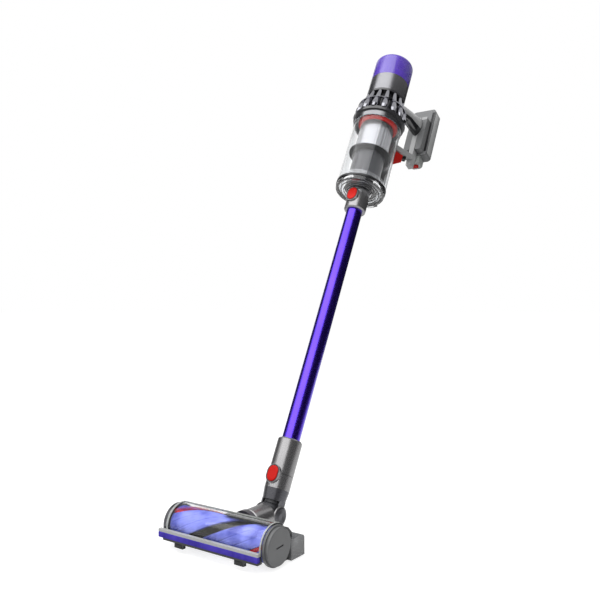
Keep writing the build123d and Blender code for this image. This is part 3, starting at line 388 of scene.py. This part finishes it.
def soft_block(bm, place, low, high, edge, steps=3):
    """A block with rounded edges between two corners of a local frame."""
    cube = bmesh.ops.create_cube(bm, size=1.0)
    for vert in cube["verts"]:
        vert.co = Vector([low[i] if vert.co[i] < 0 else high[i] for i in range(3)])
    edges = list({e for vert in cube["verts"] for e in vert.link_edges})
    made = bmesh.ops.bevel(bm, geom=edges, offset=edge, segments=steps, profile=0.5, affect="EDGES",
                           clamp_overlap=True)
    verts = {vert for face in made["faces"] for vert in face.verts}
    for vert in verts | {vert for vert in cube["verts"] if vert.is_valid}:
        vert.co = place(*vert.co)


def filament(bm, root, tip, thick):
    """A thin three-sided strand."""
    along = (tip - root).normalized()
    side = along.orthogonal().normalized() * thick
    other = along.cross(side)
    corners = [side, -0.5 * side + 0.87 * other, -0.5 * side - 0.87 * other]
    skin(bm, [[root + c for c in corners], [tip + 0.5 * c for c in corners]], caps=True)


def piece(name, body, material, build, replaced=(), sharp=35):
    """Builds a mesh piece, gives it its finish and sets it on its body; a piece that blends has none."""
    bm = bmesh.new()
    build(bm)
    bmesh.ops.recalc_face_normals(bm, faces=bm.faces)
    mesh = bpy.data.meshes.new(name)
    bm.to_mesh(mesh)
    bm.free()
    mesh.shade_smooth()
    mesh.set_sharp_from_angle(angle=math.radians(sharp))
    mesh.materials.append(material)
    made = bpy.data.objects.new(name, mesh)
    scene.collection.objects.link(made)
    if body:
        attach(made, body)
    if replaced:
        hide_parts(*replaced)
    return made


# Brush bar

def strip_angle(middle, x):
    return middle + TWIST * x


STRIPS = [(CARBON_MIDDLE, CARBON_WIDTH), (CARBON_MIDDLE + NYLON_OFFSET, NYLON_WIDTH),
          (CARBON_MIDDLE - NYLON_OFFSET, NYLON_WIDTH)]


def nap_sectors():
    """Start and end angle of each nap field at mid length."""
    places = sorted((middle % 360, width) for middle, width in STRIPS)
    following = places[1:] + [(places[0][0] + 360, places[0][1])]
    return [(middle + width / 2 + 0.5, after - after_width / 2 - 0.5)
            for (middle, width), (after, after_width) in zip(places, following)]


def wound_sheet(bm, start, end, radius_at, inner, lengths=111, turns=60):
    """A sheet that winds along the brush between two angles."""
    outer_rows, inner_rows = [], []
    for step in range(lengths):
        x = -BRUSH_HALF + 2 * BRUSH_HALF * step / (lengths - 1)
        shares = [index / (turns - 1) for index in range(turns)]
        angles = [strip_angle(start + share * (end - start), x) for share in shares]
        outer_rows.append([head_round(x, radius_at(x, share), angle)
                           for share, angle in zip(shares, angles)])
        inner_rows.append([head_round(x, inner, angle) for angle in angles])
    plate(bm, outer_rows, inner_rows)


SEAM_SHARES = (1 / 3, 2 / 3)
NAP_DIP = 2.2
NAP_RUFFLE = 0.35


def nap_height(x, share, span):
    """Radius of the nap: rounded at its edges, dipped at its seams and ruffled by its lay."""
    edge = min(share, 1 - share) * span / 4.0
    seam = min(abs(share - at) for at in SEAM_SHARES) * span / 2.2
    dip = min(1.0, edge, seam)
    ruffle = noise.noise(Vector((x / 9, share * span / 7, span))) * NAP_RUFFLE
    return NAP_RADIUS - NAP_DIP * (1 - math.sqrt(1 - (1 - dip) ** 2)) + ruffle * dip


def build_nap(bm):
    for start, end in nap_sectors():
        span = end - start
        wound_sheet(bm, start, end, lambda x, share: nap_height(x, share, span), CORE_RADIUS + 0.1)


def build_seams(bm):
    for start, end in nap_sectors():
        for share in SEAM_SHARES:
            middle = start + share * (end - start)
            wound_sheet(bm, middle - 0.8, middle + 0.8, lambda x, share: NAP_RADIUS - 1.5,
                        CORE_RADIUS + 2, turns=4)


def build_tape(bm, strips, turns):
    """The backing that the strands of these strips stand in."""
    for middle, width in strips:
        wound_sheet(bm, middle - width / 2, middle + width / 2, lambda x, share: BACKING_RADIUS,
                    CORE_RADIUS + 0.1, turns=turns)


def stand_strands(bm, middle, width, rows, columns, thick, seed):
    """Fills a strip with strands, each a little out of line."""
    draw = random.Random(seed)
    for row in range(rows):
        for column in range(columns):
            x = -BRUSH_HALF + 1.5 + (2 * BRUSH_HALF - 3) * (column + 0.5 * (row % 2)) / columns
            angle = strip_angle(middle, x) + ((row + 0.5) / rows - 0.5) * width * 0.94
            root_x = x + draw.uniform(-0.4, 0.4)
            root = head_round(root_x, BACKING_RADIUS - 0.8, angle + draw.uniform(-0.8, 0.8))
            tip_radius = TIP_RADIUS - draw.uniform(0.0, 0.7)
            tip_x = max(-BRUSH_HALF, min(BRUSH_HALF, x + draw.uniform(-1.3, 1.3)))
            tip = head_round(tip_x, tip_radius, angle + draw.uniform(-2.4, 2.4))
            filament(bm, root, tip, thick)


def build_carbon(bm):
    stand_strands(bm, CARBON_MIDDLE, CARBON_WIDTH, 9, 150, 0.00028, 11)


def build_nylon(bm):
    for seed, (middle, width) in enumerate(STRIPS[1:]):
        stand_strands(bm, middle, width, 4, 150, 0.0003, 21 + seed)


piece("brush_nap_pile", "brush", lilac_nap, build_nap, ("brush_nap",), sharp=60)
piece("brush_nap_seams", "brush", nap_seam, build_seams)
piece("carbon_tape", "brush", carbon_tape, lambda bm: build_tape(bm, STRIPS[:1], 16))
piece("carbon_strands", "brush", carbon_filament, build_carbon, ("carbon_bristles",))
piece("nylon_tape", "brush", crimson_nylon, lambda bm: build_tape(bm, STRIPS[1:], 8))
piece("nylon_strands", "brush", crimson_nylon, build_nylon, ("nylon_bristles",))


# Cleaner head

# Without a seed the vector noise changes from run to run, and the felts with it.
FELT_SEED = 3
noise.seed_set(FELT_SEED)


def felt_bar(bm, low, high, edge, steps, cuts, depth):
    """A felt bar with soft edges, cut up along its length and ruffled by a fine fixed noise."""
    soft_block(bm, head, low, high, edge, steps)
    half_length = (high[0] - low[0]) / 2000
    long_edges = [e for e in bm.edges if abs(e.verts[0].co.x - e.verts[1].co.x) > half_length]
    bmesh.ops.subdivide_edges(bm, edges=long_edges, cuts=cuts, use_grid_fill=True)
    for vert in bm.verts:
        vert.co += noise.noise_vector(vert.co * 700) * depth


def build_front_felt(bm):
    felt_bar(bm, (-125.0, -48.0, 21.55), (SHELL_HALF, -40.0, 31.95), 1.6, 4, 119, 0.00016)


def build_glide(bm):
    felt_bar(bm, (-40.0, 38.0, 0.15), (40.0, 50.0, 3.0), 1.0, 3, 49, 0.00012)


def hoop(bm, x0, x1, inner, outer, start, end, turns=72):
    """A curved strip round the brush axis."""
    outer_rows, inner_rows = [], []
    for index in range(turns + 1):
        angle = start + (end - start) * index / turns
        for rows, radius in ((outer_rows, outer), (inner_rows, inner)):
            rows.append([head_round(x, radius, angle) for x in (x0, x0 + 0.4, x1 - 0.4, x1)])
    plate(bm, outer_rows, inner_rows)


def build_comb(bm):
    """The seal along the top of the visor, with its row of short teeth."""
    hoop(bm, -SHELL_HALF, SHELL_HALF, VISOR_OUTER, VISOR_OUTER + 1.4, 103, 112, 8)
    count = 74
    for index in range(count):
        x = -SHELL_HALF + 2 * SHELL_HALF * (index + 0.5) / count
        hoop(bm, x - 0.75, x + 0.75, VISOR_OUTER + 0.1, VISOR_OUTER + 1.2, VISOR_CREST, 103.2, 3)


def build_hoops(bm):
    """The thick ends of the visor, drawn pale as a painted highlight on their clear edges."""
    for x0, x1 in ((-SHELL_HALF, -SHELL_HALF + LEFT_HOOP), (SHELL_HALF - RIGHT_HOOP, SHELL_HALF)):
        hoop(bm, x0, x1, VISOR_OUTER + 0.02, VISOR_OUTER + 0.9, VISOR_FOOT, VISOR_CREST)


# A pale strip along the lower edge of the visor: painted highlight.
def build_visor_edge(bm):
    hoop(bm, -SHELL_HALF + LEFT_HOOP, SHELL_HALF - RIGHT_HOOP, VISOR_OUTER + 0.02, VISOR_OUTER + 0.7,
         VISOR_FOOT, VISOR_FOOT + 4, 4)


def build_visor_shadow_sheet(bm):
    """A dark sheet inside the rear of the visor: painted shadow over the back of the nap."""
    hoop(bm, 4.0, 106.0, VISOR_INNER - 0.5, VISOR_INNER - 0.1, 78, 140, 24)


def build_slot(bm):
    """The dark floor of the coin slot in the end cap, a little off level."""
    def slot_place(x, y, z):
        turn = math.radians(4)
        return head(x, y * math.cos(turn) - z * math.sin(turn),
                    AXIS_HEIGHT + y * math.sin(turn) + z * math.cos(turn))
    soft_block(bm, slot_place, (122.9, -9.85, -1.4), (123.5, 9.85, 1.4), 0.2, 2)


piece("felt_front_strip", "head", purple_felt, build_front_felt, ("front_felt",), sharp=60)
piece("glide_felt", "head", purple_felt, build_glide, ("glide_strip",), sharp=60)
piece("visor_comb", "head", clear_edge_highlight, build_comb, ("seal_strip",))
piece("visor_hoops", "head", clear_edge_highlight, build_hoops)
piece("visor_lower_edge", "head", clear_edge_highlight, build_visor_edge)
# The dark sheet inside the visor is painted shadow over the nap, not a real part.
piece("visor_painted_shadow", "head", matt_black, build_visor_shadow_sheet)
piece("coin_slot_floor", "end_cap", black_abs, build_slot)


# Neck hose

HOSE_BEND = 36.0
HOSE_STRAIGHT = 27.0
HOSE_TURN = math.pi / 2 - LEAN
HOSE_RIBS = 11
HOSE_CREST = 19.8
HOSE_VALLEY = 17.4
HOSE_BORE = 14.6
FRONT_CUFF = 22.5
BACK_CUFF = 18.1
RIB_STEPS = 10


def hose_place(distance, radius, turn):
    """A point on the hose at a distance along it from its front end."""
    y = ELBOW_Y - HOSE_BEND * math.tan(HOSE_TURN / 2)
    angle = min(max(0.0, (distance - HOSE_STRAIGHT) / HOSE_BEND), HOSE_TURN)
    before = min(distance, HOSE_STRAIGHT) - HOSE_STRAIGHT
    past = max(0.0, distance - HOSE_STRAIGHT - HOSE_BEND * HOSE_TURN)
    heading = (math.cos(angle), math.sin(angle))
    y += before + HOSE_BEND * math.sin(angle) + past * heading[0]
    z = AXIS_HEIGHT + HOSE_BEND * (1 - math.cos(angle)) + past * heading[1]
    out = radius * math.sin(turn)
    return head(radius * math.cos(turn), y - out * heading[1], z + out * heading[0])


def hose_swell(distance, radius, turn):
    """Radius of the hose: ribbed at its back, smooth and full where it shows in the crook of the neck."""
    share = (distance - HOSE_STRAIGHT) / (HOSE_BEND * HOSE_TURN)
    crook = max(0.0, math.sin(math.pi * min(max(share, 0.0), 1.0))) ** 1.5 * max(0.0, math.sin(turn))
    return radius + (HOSE_CREST - radius) * min(1.0, 1.6 * crook) + 4.5 * crook * max(0.0, math.sin(turn))


def build_hose(bm):
    ribbed = HOSE_BEND * HOSE_TURN
    whole = 2 * HOSE_STRAIGHT + ribbed
    stations = [(0.0, FRONT_CUFF), (5.5, FRONT_CUFF), (8.0, HOSE_VALLEY)]
    steps = HOSE_RIBS * RIB_STEPS
    for index in range(steps + 1):
        wave = 0.5 - 0.5 * math.cos(2 * math.pi * index / RIB_STEPS)
        stations.append((HOSE_STRAIGHT + ribbed * index / steps,
                         HOSE_VALLEY + (HOSE_CREST - HOSE_VALLEY) * wave ** 0.7))
    stations += [(whole - 8.0, HOSE_VALLEY), (whole - 6.0, BACK_CUFF), (whole, BACK_CUFF)]
    turns = [2 * math.pi * index / 64 for index in range(64)]
    rings = [[hose_place(distance, hose_swell(distance, radius, turn), turn) for turn in turns]
             for distance, radius in stations]
    rings += [[hose_place(distance, HOSE_BORE, turn) for turn in turns] for distance, _ in stations[::-1]]
    skin(bm, rings, wrap=True)


def build_cheek_caps(bm):
    """The ribbed round covers on the outside of the neck's cheeks."""
    profile = [(0.3, 26.3), (0.3, 27.4), (5.0, 27.35)]
    for radius in (7.5, 11.0, 14.5):
        profile += [(radius - 1.3, 27.2), (radius - 0.7, 27.9), (radius + 0.7, 27.8), (radius + 1.3, 27.1)]
    profile += [(18.4, 26.9), (19.1, 26.3)]
    for side in (-1, 1):
        def cheek_place(radius, x, turn):
            return head(side * x, ELBOW_Y + radius * math.cos(turn), AXIS_HEIGHT + radius * math.sin(turn))
        turned(bm, cheek_place, profile, 72)


hose = piece("neck_hose", None, hose_rubber, build_hose, ("neck_bellows",), sharp=50)
tuple(hose_place(HOSE_STRAIGHT, 0, 0))
tuple(hose_place(HOSE_STRAIGHT + HOSE_BEND * HOSE_TURN, 0, 0))
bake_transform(hose)
piece("neck_cheek_caps", "lower_neck", iron_abs, build_cheek_caps, sharp=50)


# Release buttons

BUTTON_TURNS = [2 * math.pi * (index + 0.5) / 64 for index in range(64)]
BUTTON_CROWN = [(0, 0.0), (0, 4.2), (0.25, 4.8), (0.8, 5.25), (1.8, 5.45), (6.0, 5.5), (11.6, 5.3)]


def button_point(station, radius, height, turn):
    """A point of an oval round a button, by its height from the wand axis."""
    end = BUTTON_STRAIGHT if math.sin(turn) > 0 else -BUTTON_STRAIGHT
    return stick(radius * math.cos(turn), -height, station + radius * math.sin(turn) + end)


def build_button(bm, station):
    """A crowned oval button."""
    rings = []
    for inset, height in BUTTON_CROWN:
        rings.append([button_point(station, BUTTON_RADIUS - inset, BUTTON_BASE + height, turn)
                      for turn in BUTTON_TURNS])
    skin(bm, rings, caps=True)


piece("upper_button_pad", "upper_release", red_abs,
      lambda bm: build_button(bm, UPPER_BUTTON), ("wand_button",))
piece("lower_button_pad", "lower_release", red_abs,
      lambda bm: build_button(bm, LOWER_BUTTON), ("neck_button",))


def build_button_gaskets(bm):
    """The dark rings on the bosses round both buttons."""
    section = [(12.5, 29.2), (12.5, 29.7), (14.2, 29.7), (14.6, 29.2)]
    for station in (LOWER_BUTTON, UPPER_BUTTON):
        skin(bm, [[button_point(station, radius, height, turn) for radius, height in section]
                  for turn in BUTTON_TURNS], wrap=True)


def build_sleeve_seam(bm):
    """The dark joint line in the groove of the neck sleeve."""
    turned(bm, stick_round, [(25.4, 79.55), (25.9, 79.55), (25.9, 80.45), (25.4, 80.45)], 96)


piece("button_gaskets", "wand", black_abs, build_button_gaskets)
piece("sleeve_seam", "wand", black_abs, build_sleeve_seam)


# Bin

def build_base_ribs(bm):
    """Clear ribs that stand on the flap inside the wall."""
    count = 44
    outline = [(46.5, FLAP_TOP), (52.5, FLAP_TOP), (52.5, 806.0), (50.5, 808.0), (48.0, 806.0), (46.5, 800.0)]
    for index in range(count):
        turn = 2 * math.pi * (index + 0.5) / count
        across = Vector((-math.sin(turn), math.cos(turn)))
        sides = []
        for half in (-0.9, 0.9):
            sides.append([stick(radius * math.cos(turn) + half * across.x,
                                radius * math.sin(turn) + half * across.y, station)
                          for radius, station in outline])
        skin(bm, sides, caps=True)
    lip = [(52.6, FLAP_TOP), (53.8, FLAP_TOP), (53.8, 811.0), (53.4, 811.4), (53.0, 811.4), (52.6, 811.0)]
    turned(bm, stick_round, lip, 128)


def build_base_ridges(bm):
    """Rounded ridges on the under face of the flap."""
    for radius in (33.0, 40.0, 47.0, 56.5):
        half = 1.3 if radius < 56 else 2.6
        profile = [(radius - half, FLAP_FACE), (radius - 0.7 * half, 779.3), (radius, 778.9),
                   (radius + 0.7 * half, 779.3), (radius + half, FLAP_FACE)]
        turned(bm, stick_round, profile, 128)


piece("bin_base_ribs", "flap", clear_pc, build_base_ribs)
piece("flap_ridges", "flap", gloss_black, build_base_ridges)


# Cyclones and filter

def build_ledge(bm):
    """The thin plated ring at the step between the cups and the cones."""
    low, high = LEDGE_STATION - 1, LEDGE_STATION + 1
    profile = [(56.0, low), (62.6, low), (LEDGE_RADIUS, LEDGE_STATION), (62.6, high), (56.0, high)]
    turned(bm, stick_round, profile, 180)


def build_filter(bm):
    """The filter cap; its louvre grooves run round all but the front."""
    inner = [(0.5, FILTER_TOP), (0.5, 1184.5), (43.5, 1184.5), (47.5, 1180.5), (47.5, 1129.6),
             (41.2, 1129.6), (41.2, FILTER_START)]
    rings = []
    for index in range(180):
        turn = 2 * math.pi * index / 180
        from_front = abs((math.degrees(turn) + 90 + 180) % 360 - 180)
        depth = 0.9 * min(1.0, max(0.0, (from_front - 42) / 6))
        outer = [(MOTOR_RADIUS, FILTER_START), (MOTOR_RADIUS, 1137.0)]
        for groove in range(7):
            start = 1138.0 + 6.0 * groove
            outer += [(MOTOR_RADIUS, start), (MOTOR_RADIUS, start + 3.0),
                      (MOTOR_RADIUS - depth, start + 3.5), (MOTOR_RADIUS - depth, start + 5.5)]
        outer.append((MOTOR_RADIUS, 1180.0))
        for step in range(1, 9):
            bend = math.pi / 2 * step / 8
            outer.append((MOTOR_RADIUS - 6 + 6 * math.cos(bend), 1181.0 + 6 * math.sin(bend)))
        rings.append([stick_round(radius, station, turn) for radius, station in outer + inner])
    skin(bm, rings, wrap=True)


def build_pleats(bm):
    """The pleated paper inside the filter cap."""
    turns = 240
    rings = []
    for index in range(turns):
        turn = 2 * math.pi * index / turns
        outer = 43.9 if index % 4 < 2 else 40.5
        rings.append([stick_round(radius, station, turn) for radius, station in
                      ((outer, 1130.0), (outer, 1184.0), (outer - 4.5, 1184.0), (outer - 4.5, 1130.0))])
    skin(bm, rings, wrap=True)


piece("cone_ledge", "main_body", dark_chrome, build_ledge)
piece("filter_cap", "filter", violet_pc, build_filter, ("filter_shell",))
piece("filter_pleats", "filter", filter_paper, build_pleats, ("filter_media",))


# Handle and battery

def grip_outline(drop, angle, grow):
    """A point on the oval grip; 90 degrees is its upper side."""
    share = max(0.0, (drop - GRIP_FLARE) / (GRIP_END - GRIP_FLARE))
    depth = (36.0 / math.cos(GRIP_TILT) + 22.0 * share) / 2
    middle = 1072.0 + drop * math.tan(GRIP_TILT) - 11.0 * share
    turn = math.radians(angle)
    return stick((15.0 + grow) * math.cos(turn), drop, middle + (depth + grow) * math.sin(turn))


def build_grip_light_layer(bm):
    """A pale layer over the upper side of the grip, thinned out at its edges: painted light on the side of
    the grip that faces the light.
    """
    drops = [GRIP_START + 120.0 * index / 40 for index in range(41)]
    angles = [-18 + 216 * index / 48 for index in range(49)]
    outer, inner = [], []
    for drop in drops:
        ends = min(drop - GRIP_START, 180.0 - drop)
        outer.append([grip_outline(drop, a, 0.9 * min(1.0, 0.3 + ends / 4, 0.3 + min(a + 18, 198 - a) / 6))
                      for a in angles])
        inner.append([grip_outline(drop, a, -0.4) for a in angles])
    plate(bm, outer, inner)


def build_skid_end_highlights(bm):
    """Pale caps on the upper ends of the battery's two skids: a painted highlight on their rounded ends."""
    for side in (-1, 1):
        near, far = sorted((side * 7.6, side * 26.2))
        soft_block(bm, stick, (near, 182.6, 1158.0), (far, 204.0, 1170.0), 2.6, 4)


def build_battery_seam(bm):
    """The seam line round the battery case."""
    corners = [(26.0, CASE_HIGH, 0), (-26.0, CASE_HIGH, 90), (-26.0, CASE_LOW, 180), (26.0, CASE_LOW, 270)]
    outline = [(cx, cz, math.radians(start + 90 * index / 8))
               for cx, cz, start in corners for index in range(9)]
    rings = []
    for cx, cz, turn in outline:
        rings.append([stick(cx + radius * math.cos(turn), drop, cz + radius * math.sin(turn))
                      for radius, drop in ((8.8, 207.0), (9.15, 207.2), (9.15, 208.0), (8.8, 208.2))])
    skin(bm, rings, wrap=True)


def build_inner_face_shade(bm):
    """Dark strips between the skids and the edges of the case: painted shade on the battery's inner face."""
    for side in (-1, 1):
        near, far = sorted((side * 26.6, side * 33.6))
        soft_block(bm, stick, (near, 203.3, 1062.0), (far, 204.4, 1200.0), 0.3, 2)


def build_battery_side_light(bm):
    """Pale sheets on the two sides of the case: painted light that makes the side faces lighter than the case
    grey.
    """
    for side in (-1, 1):
        near, far = sorted((side * 34.6, side * 35.3))
        soft_block(bm, stick, (near, 209.6, CASE_LOW), (far, 235.0, CASE_HIGH), 0.3, 2)


# The pale layer on the grip is painted light on its lit upper side.
piece("grip_painted_light_layer", "main_body", pale_abs, build_grip_light_layer)
# The pale skid ends are a painted highlight.
piece("skid_end_painted_highlights", "battery", pale_abs, build_skid_end_highlights)
piece("battery_seam", "battery", black_abs, build_battery_seam)
# The dark strips on the battery's inner face are painted shade.
piece("battery_inner_painted_shade", "battery", black_abs, build_inner_face_shade)
# The pale sheets on the battery's sides are painted light.
piece("battery_side_painted_light", "battery", pale_abs, build_battery_side_light)


# Finishes of the solids that stay

FINISHES = {
    violet_anodised: ["wand_tube"],
    silver_abs: ["wand_collar", "neck_sleeve", "neck_collar", "neck_tube"],
    iron_abs: ["neck_cone", "swivel_ring", "left_cap"],
    ground_steel: ["neck_pins"],
    black_abs: ["head_housing", "sole_plate", "front_lip", "brush_core", "bin_rail", "charging_socket",
                "bin_ring"],
    matt_black: ["shroud_skirt"],
    clear_pc: ["bin_flap"],
    visor_pc: ["head_visor", "bin_wall"],
    clear_edge_highlight: ["latch_guard"],
    pale_abs: ["front_trim", "front_strut", "battery_shoe"],
    smoked_pc: ["wheel_covers"],
    motor_can: ["brush_motor", "motor_stator", "impeller"],
    cap_abs: ["end_cap"],
    black_rubber: ["roller_left", "roller_right", "wheel_left", "wheel_right", "flap_seal"],
    graphite: ["inlet_duct"],
    shroud_steel: ["shroud_mesh"],
    red_silicone: ["bin_seal"],
    core_black: ["cyclone_body"],
    dark_chrome: ["cyclone_cones"],
    gunmetal: ["motor_housing", "bin_rim"],
    gloss_black: ["grip", "trigger"],
    board_lacquer: ["control_board"],
    red_abs: ["bin_lever", "battery_release"],
    battery_grey: ["battery_case"],
    cell_sleeve: ["battery_cells"],
}
for material, names in FINISHES.items():
    for name in names:
        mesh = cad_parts[name].data
        mesh.materials.clear()
        mesh.materials.append(material)


# Floor, light and camera

# How much the floor adds for rays that see it, and how strongly the world lights the object
FLOOR_GLOW = 0.8
WORLD_LEVEL = 0.5


def seen_rays(tree):
    """One for rays that see the backdrop, straight, in a mirror or through glass, and nought for light."""
    path = node(tree, "LightPath")
    seen = path.outputs["Is Camera Ray"]
    for kind in ("Is Glossy Ray", "Is Transmission Ray"):
        seen = node(tree, "Math", ((0, seen), (1, path.outputs[kind])), operation="MAXIMUM").outputs[0]
    return seen


def flat_material(name, colour):
    """The pale floor: white to the camera, in mirrors and through glass, and plain to the light."""
    material = bpy.data.materials.new(name)
    material.use_nodes = True
    tree = material.node_tree
    tree.nodes.clear()
    strength = node(tree, "Math", ((0, seen_rays(tree)), (1, FLOOR_GLOW)), operation="MULTIPLY")
    glow = node(tree, "Emission", (("Strength", strength.outputs[0]),))
    plain = node(tree, "BsdfDiffuse", (("Color", linear(colour)),))
    both = node(tree, "AddShader", ((0, glow.outputs[0]), (1, plain.outputs[0])))
    out = node(tree, "OutputMaterial")
    tree.links.new(both.outputs[0], out.inputs["Surface"])
    return material


floor_mesh = bpy.data.meshes.new("floor")
floor_mesh.from_pydata([(-40, -40, 0), (40, -40, 0), (40, 40, 0), (-40, 40, 0)], [], [(0, 1, 2, 3)])
floor_mesh.materials.append(flat_material("pale_floor", "#b2b2b2"))
floor = bpy.data.objects.new("floor", floor_mesh)
scene.collection.objects.link(floor)

world = bpy.data.worlds.new("studio")
scene.world = world
world.use_nodes = True
tree = world.node_tree
level = node(tree, "MapRange", (("Value", seen_rays(tree)), ("To Min", WORLD_LEVEL), ("To Max", 1.0)))
tree.nodes["Background"].inputs["Color"].default_value = (1, 1, 1, 1)
tree.links.new(level.outputs["Result"], tree.nodes["Background"].inputs["Strength"])

CAMERA_YAW = math.radians(34.98)
CAMERA_PITCH = math.radians(-0.47)
CAMERA_PLACE = Vector((0.8228, -0.98095, 0.45623))
back = Vector((math.sin(CAMERA_YAW) * math.cos(CAMERA_PITCH),
               -math.cos(CAMERA_YAW) * math.cos(CAMERA_PITCH), math.sin(CAMERA_PITCH)))
right = Vector((math.cos(CAMERA_YAW), math.sin(CAMERA_YAW), 0))
up = back.cross(right)
lens = bpy.data.cameras.new("camera")
lens.sensor_width = 36.0
lens.lens = 40.45
camera = bpy.data.objects.new("camera", lens)
camera.matrix_world = Matrix.Translation(CAMERA_PLACE) @ Matrix((right, up, back)).transposed().to_4x4()
scene.collection.objects.link(camera)
scene.camera = camera

# The softbox and the dark flags stand round the wand axis, because tubes mirror what lies there.
wand_axis = Vector((0, math.sin(LEAN), math.cos(LEAN)))
to_camera = (back - wand_axis * back.dot(wand_axis)).normalized()
to_left = to_camera.cross(wand_axis)


def round_stick(degrees, distance, station):
    """A point round the wand axis, by its angle to the left of the camera, in metres."""
    turn = math.radians(degrees)
    return stick(0, 0, station) + (to_camera * math.cos(turn) + to_left * math.sin(turn)) * distance


def softbox(name, middle, aim, width, height, watts):
    """An area lamp aimed at a point, with its height along the wand."""
    lamp = bpy.data.lights.new(name, "AREA")
    lamp.shape = "RECTANGLE"
    lamp.size = width
    lamp.size_y = height
    lamp.energy = watts
    made = bpy.data.objects.new(name, lamp)
    ahead = (aim - middle).normalized()
    side = ahead.cross(wand_axis).normalized()
    axes = Matrix((side, side.cross(ahead) * -1, -ahead)).transposed()
    made.matrix_world = Matrix.Translation(middle) @ axes.to_4x4()
    made.visible_camera = False
    scene.collection.objects.link(made)


def flag(name, start, end, distance, low, high):
    """A dark curved screen that only mirrors see."""
    mesh = bpy.data.meshes.new(name)
    count = 24
    points, faces = [], []
    for index in range(count + 1):
        turn = start + (end - start) * index / count
        points += [round_stick(turn, distance, low), round_stick(turn, distance, high)]
    for index in range(count):
        faces.append((2 * index, 2 * index + 2, 2 * index + 3, 2 * index + 1))
    mesh.from_pydata(points, [], faces)
    mesh.materials.append(surface(name + "_cloth", "#303032", Roughness=1.0)[0])
    made = bpy.data.objects.new(name, mesh)
    for ray in ("camera", "diffuse", "transmission", "shadow", "volume_scatter"):
        setattr(made, "visible_" + ray, False)
    scene.collection.objects.link(made)


softbox("key_softbox", round_stick(42, 1.38, 1250), stick(0, 0, 700), 2.48, 2.2, 36.0)
for flag_name, flag_start, flag_end in (("right_flag", 6, -190), ("left_flag", 98, 150)):
    flag(flag_name, flag_start, flag_end, 2.2, -900, 3200)
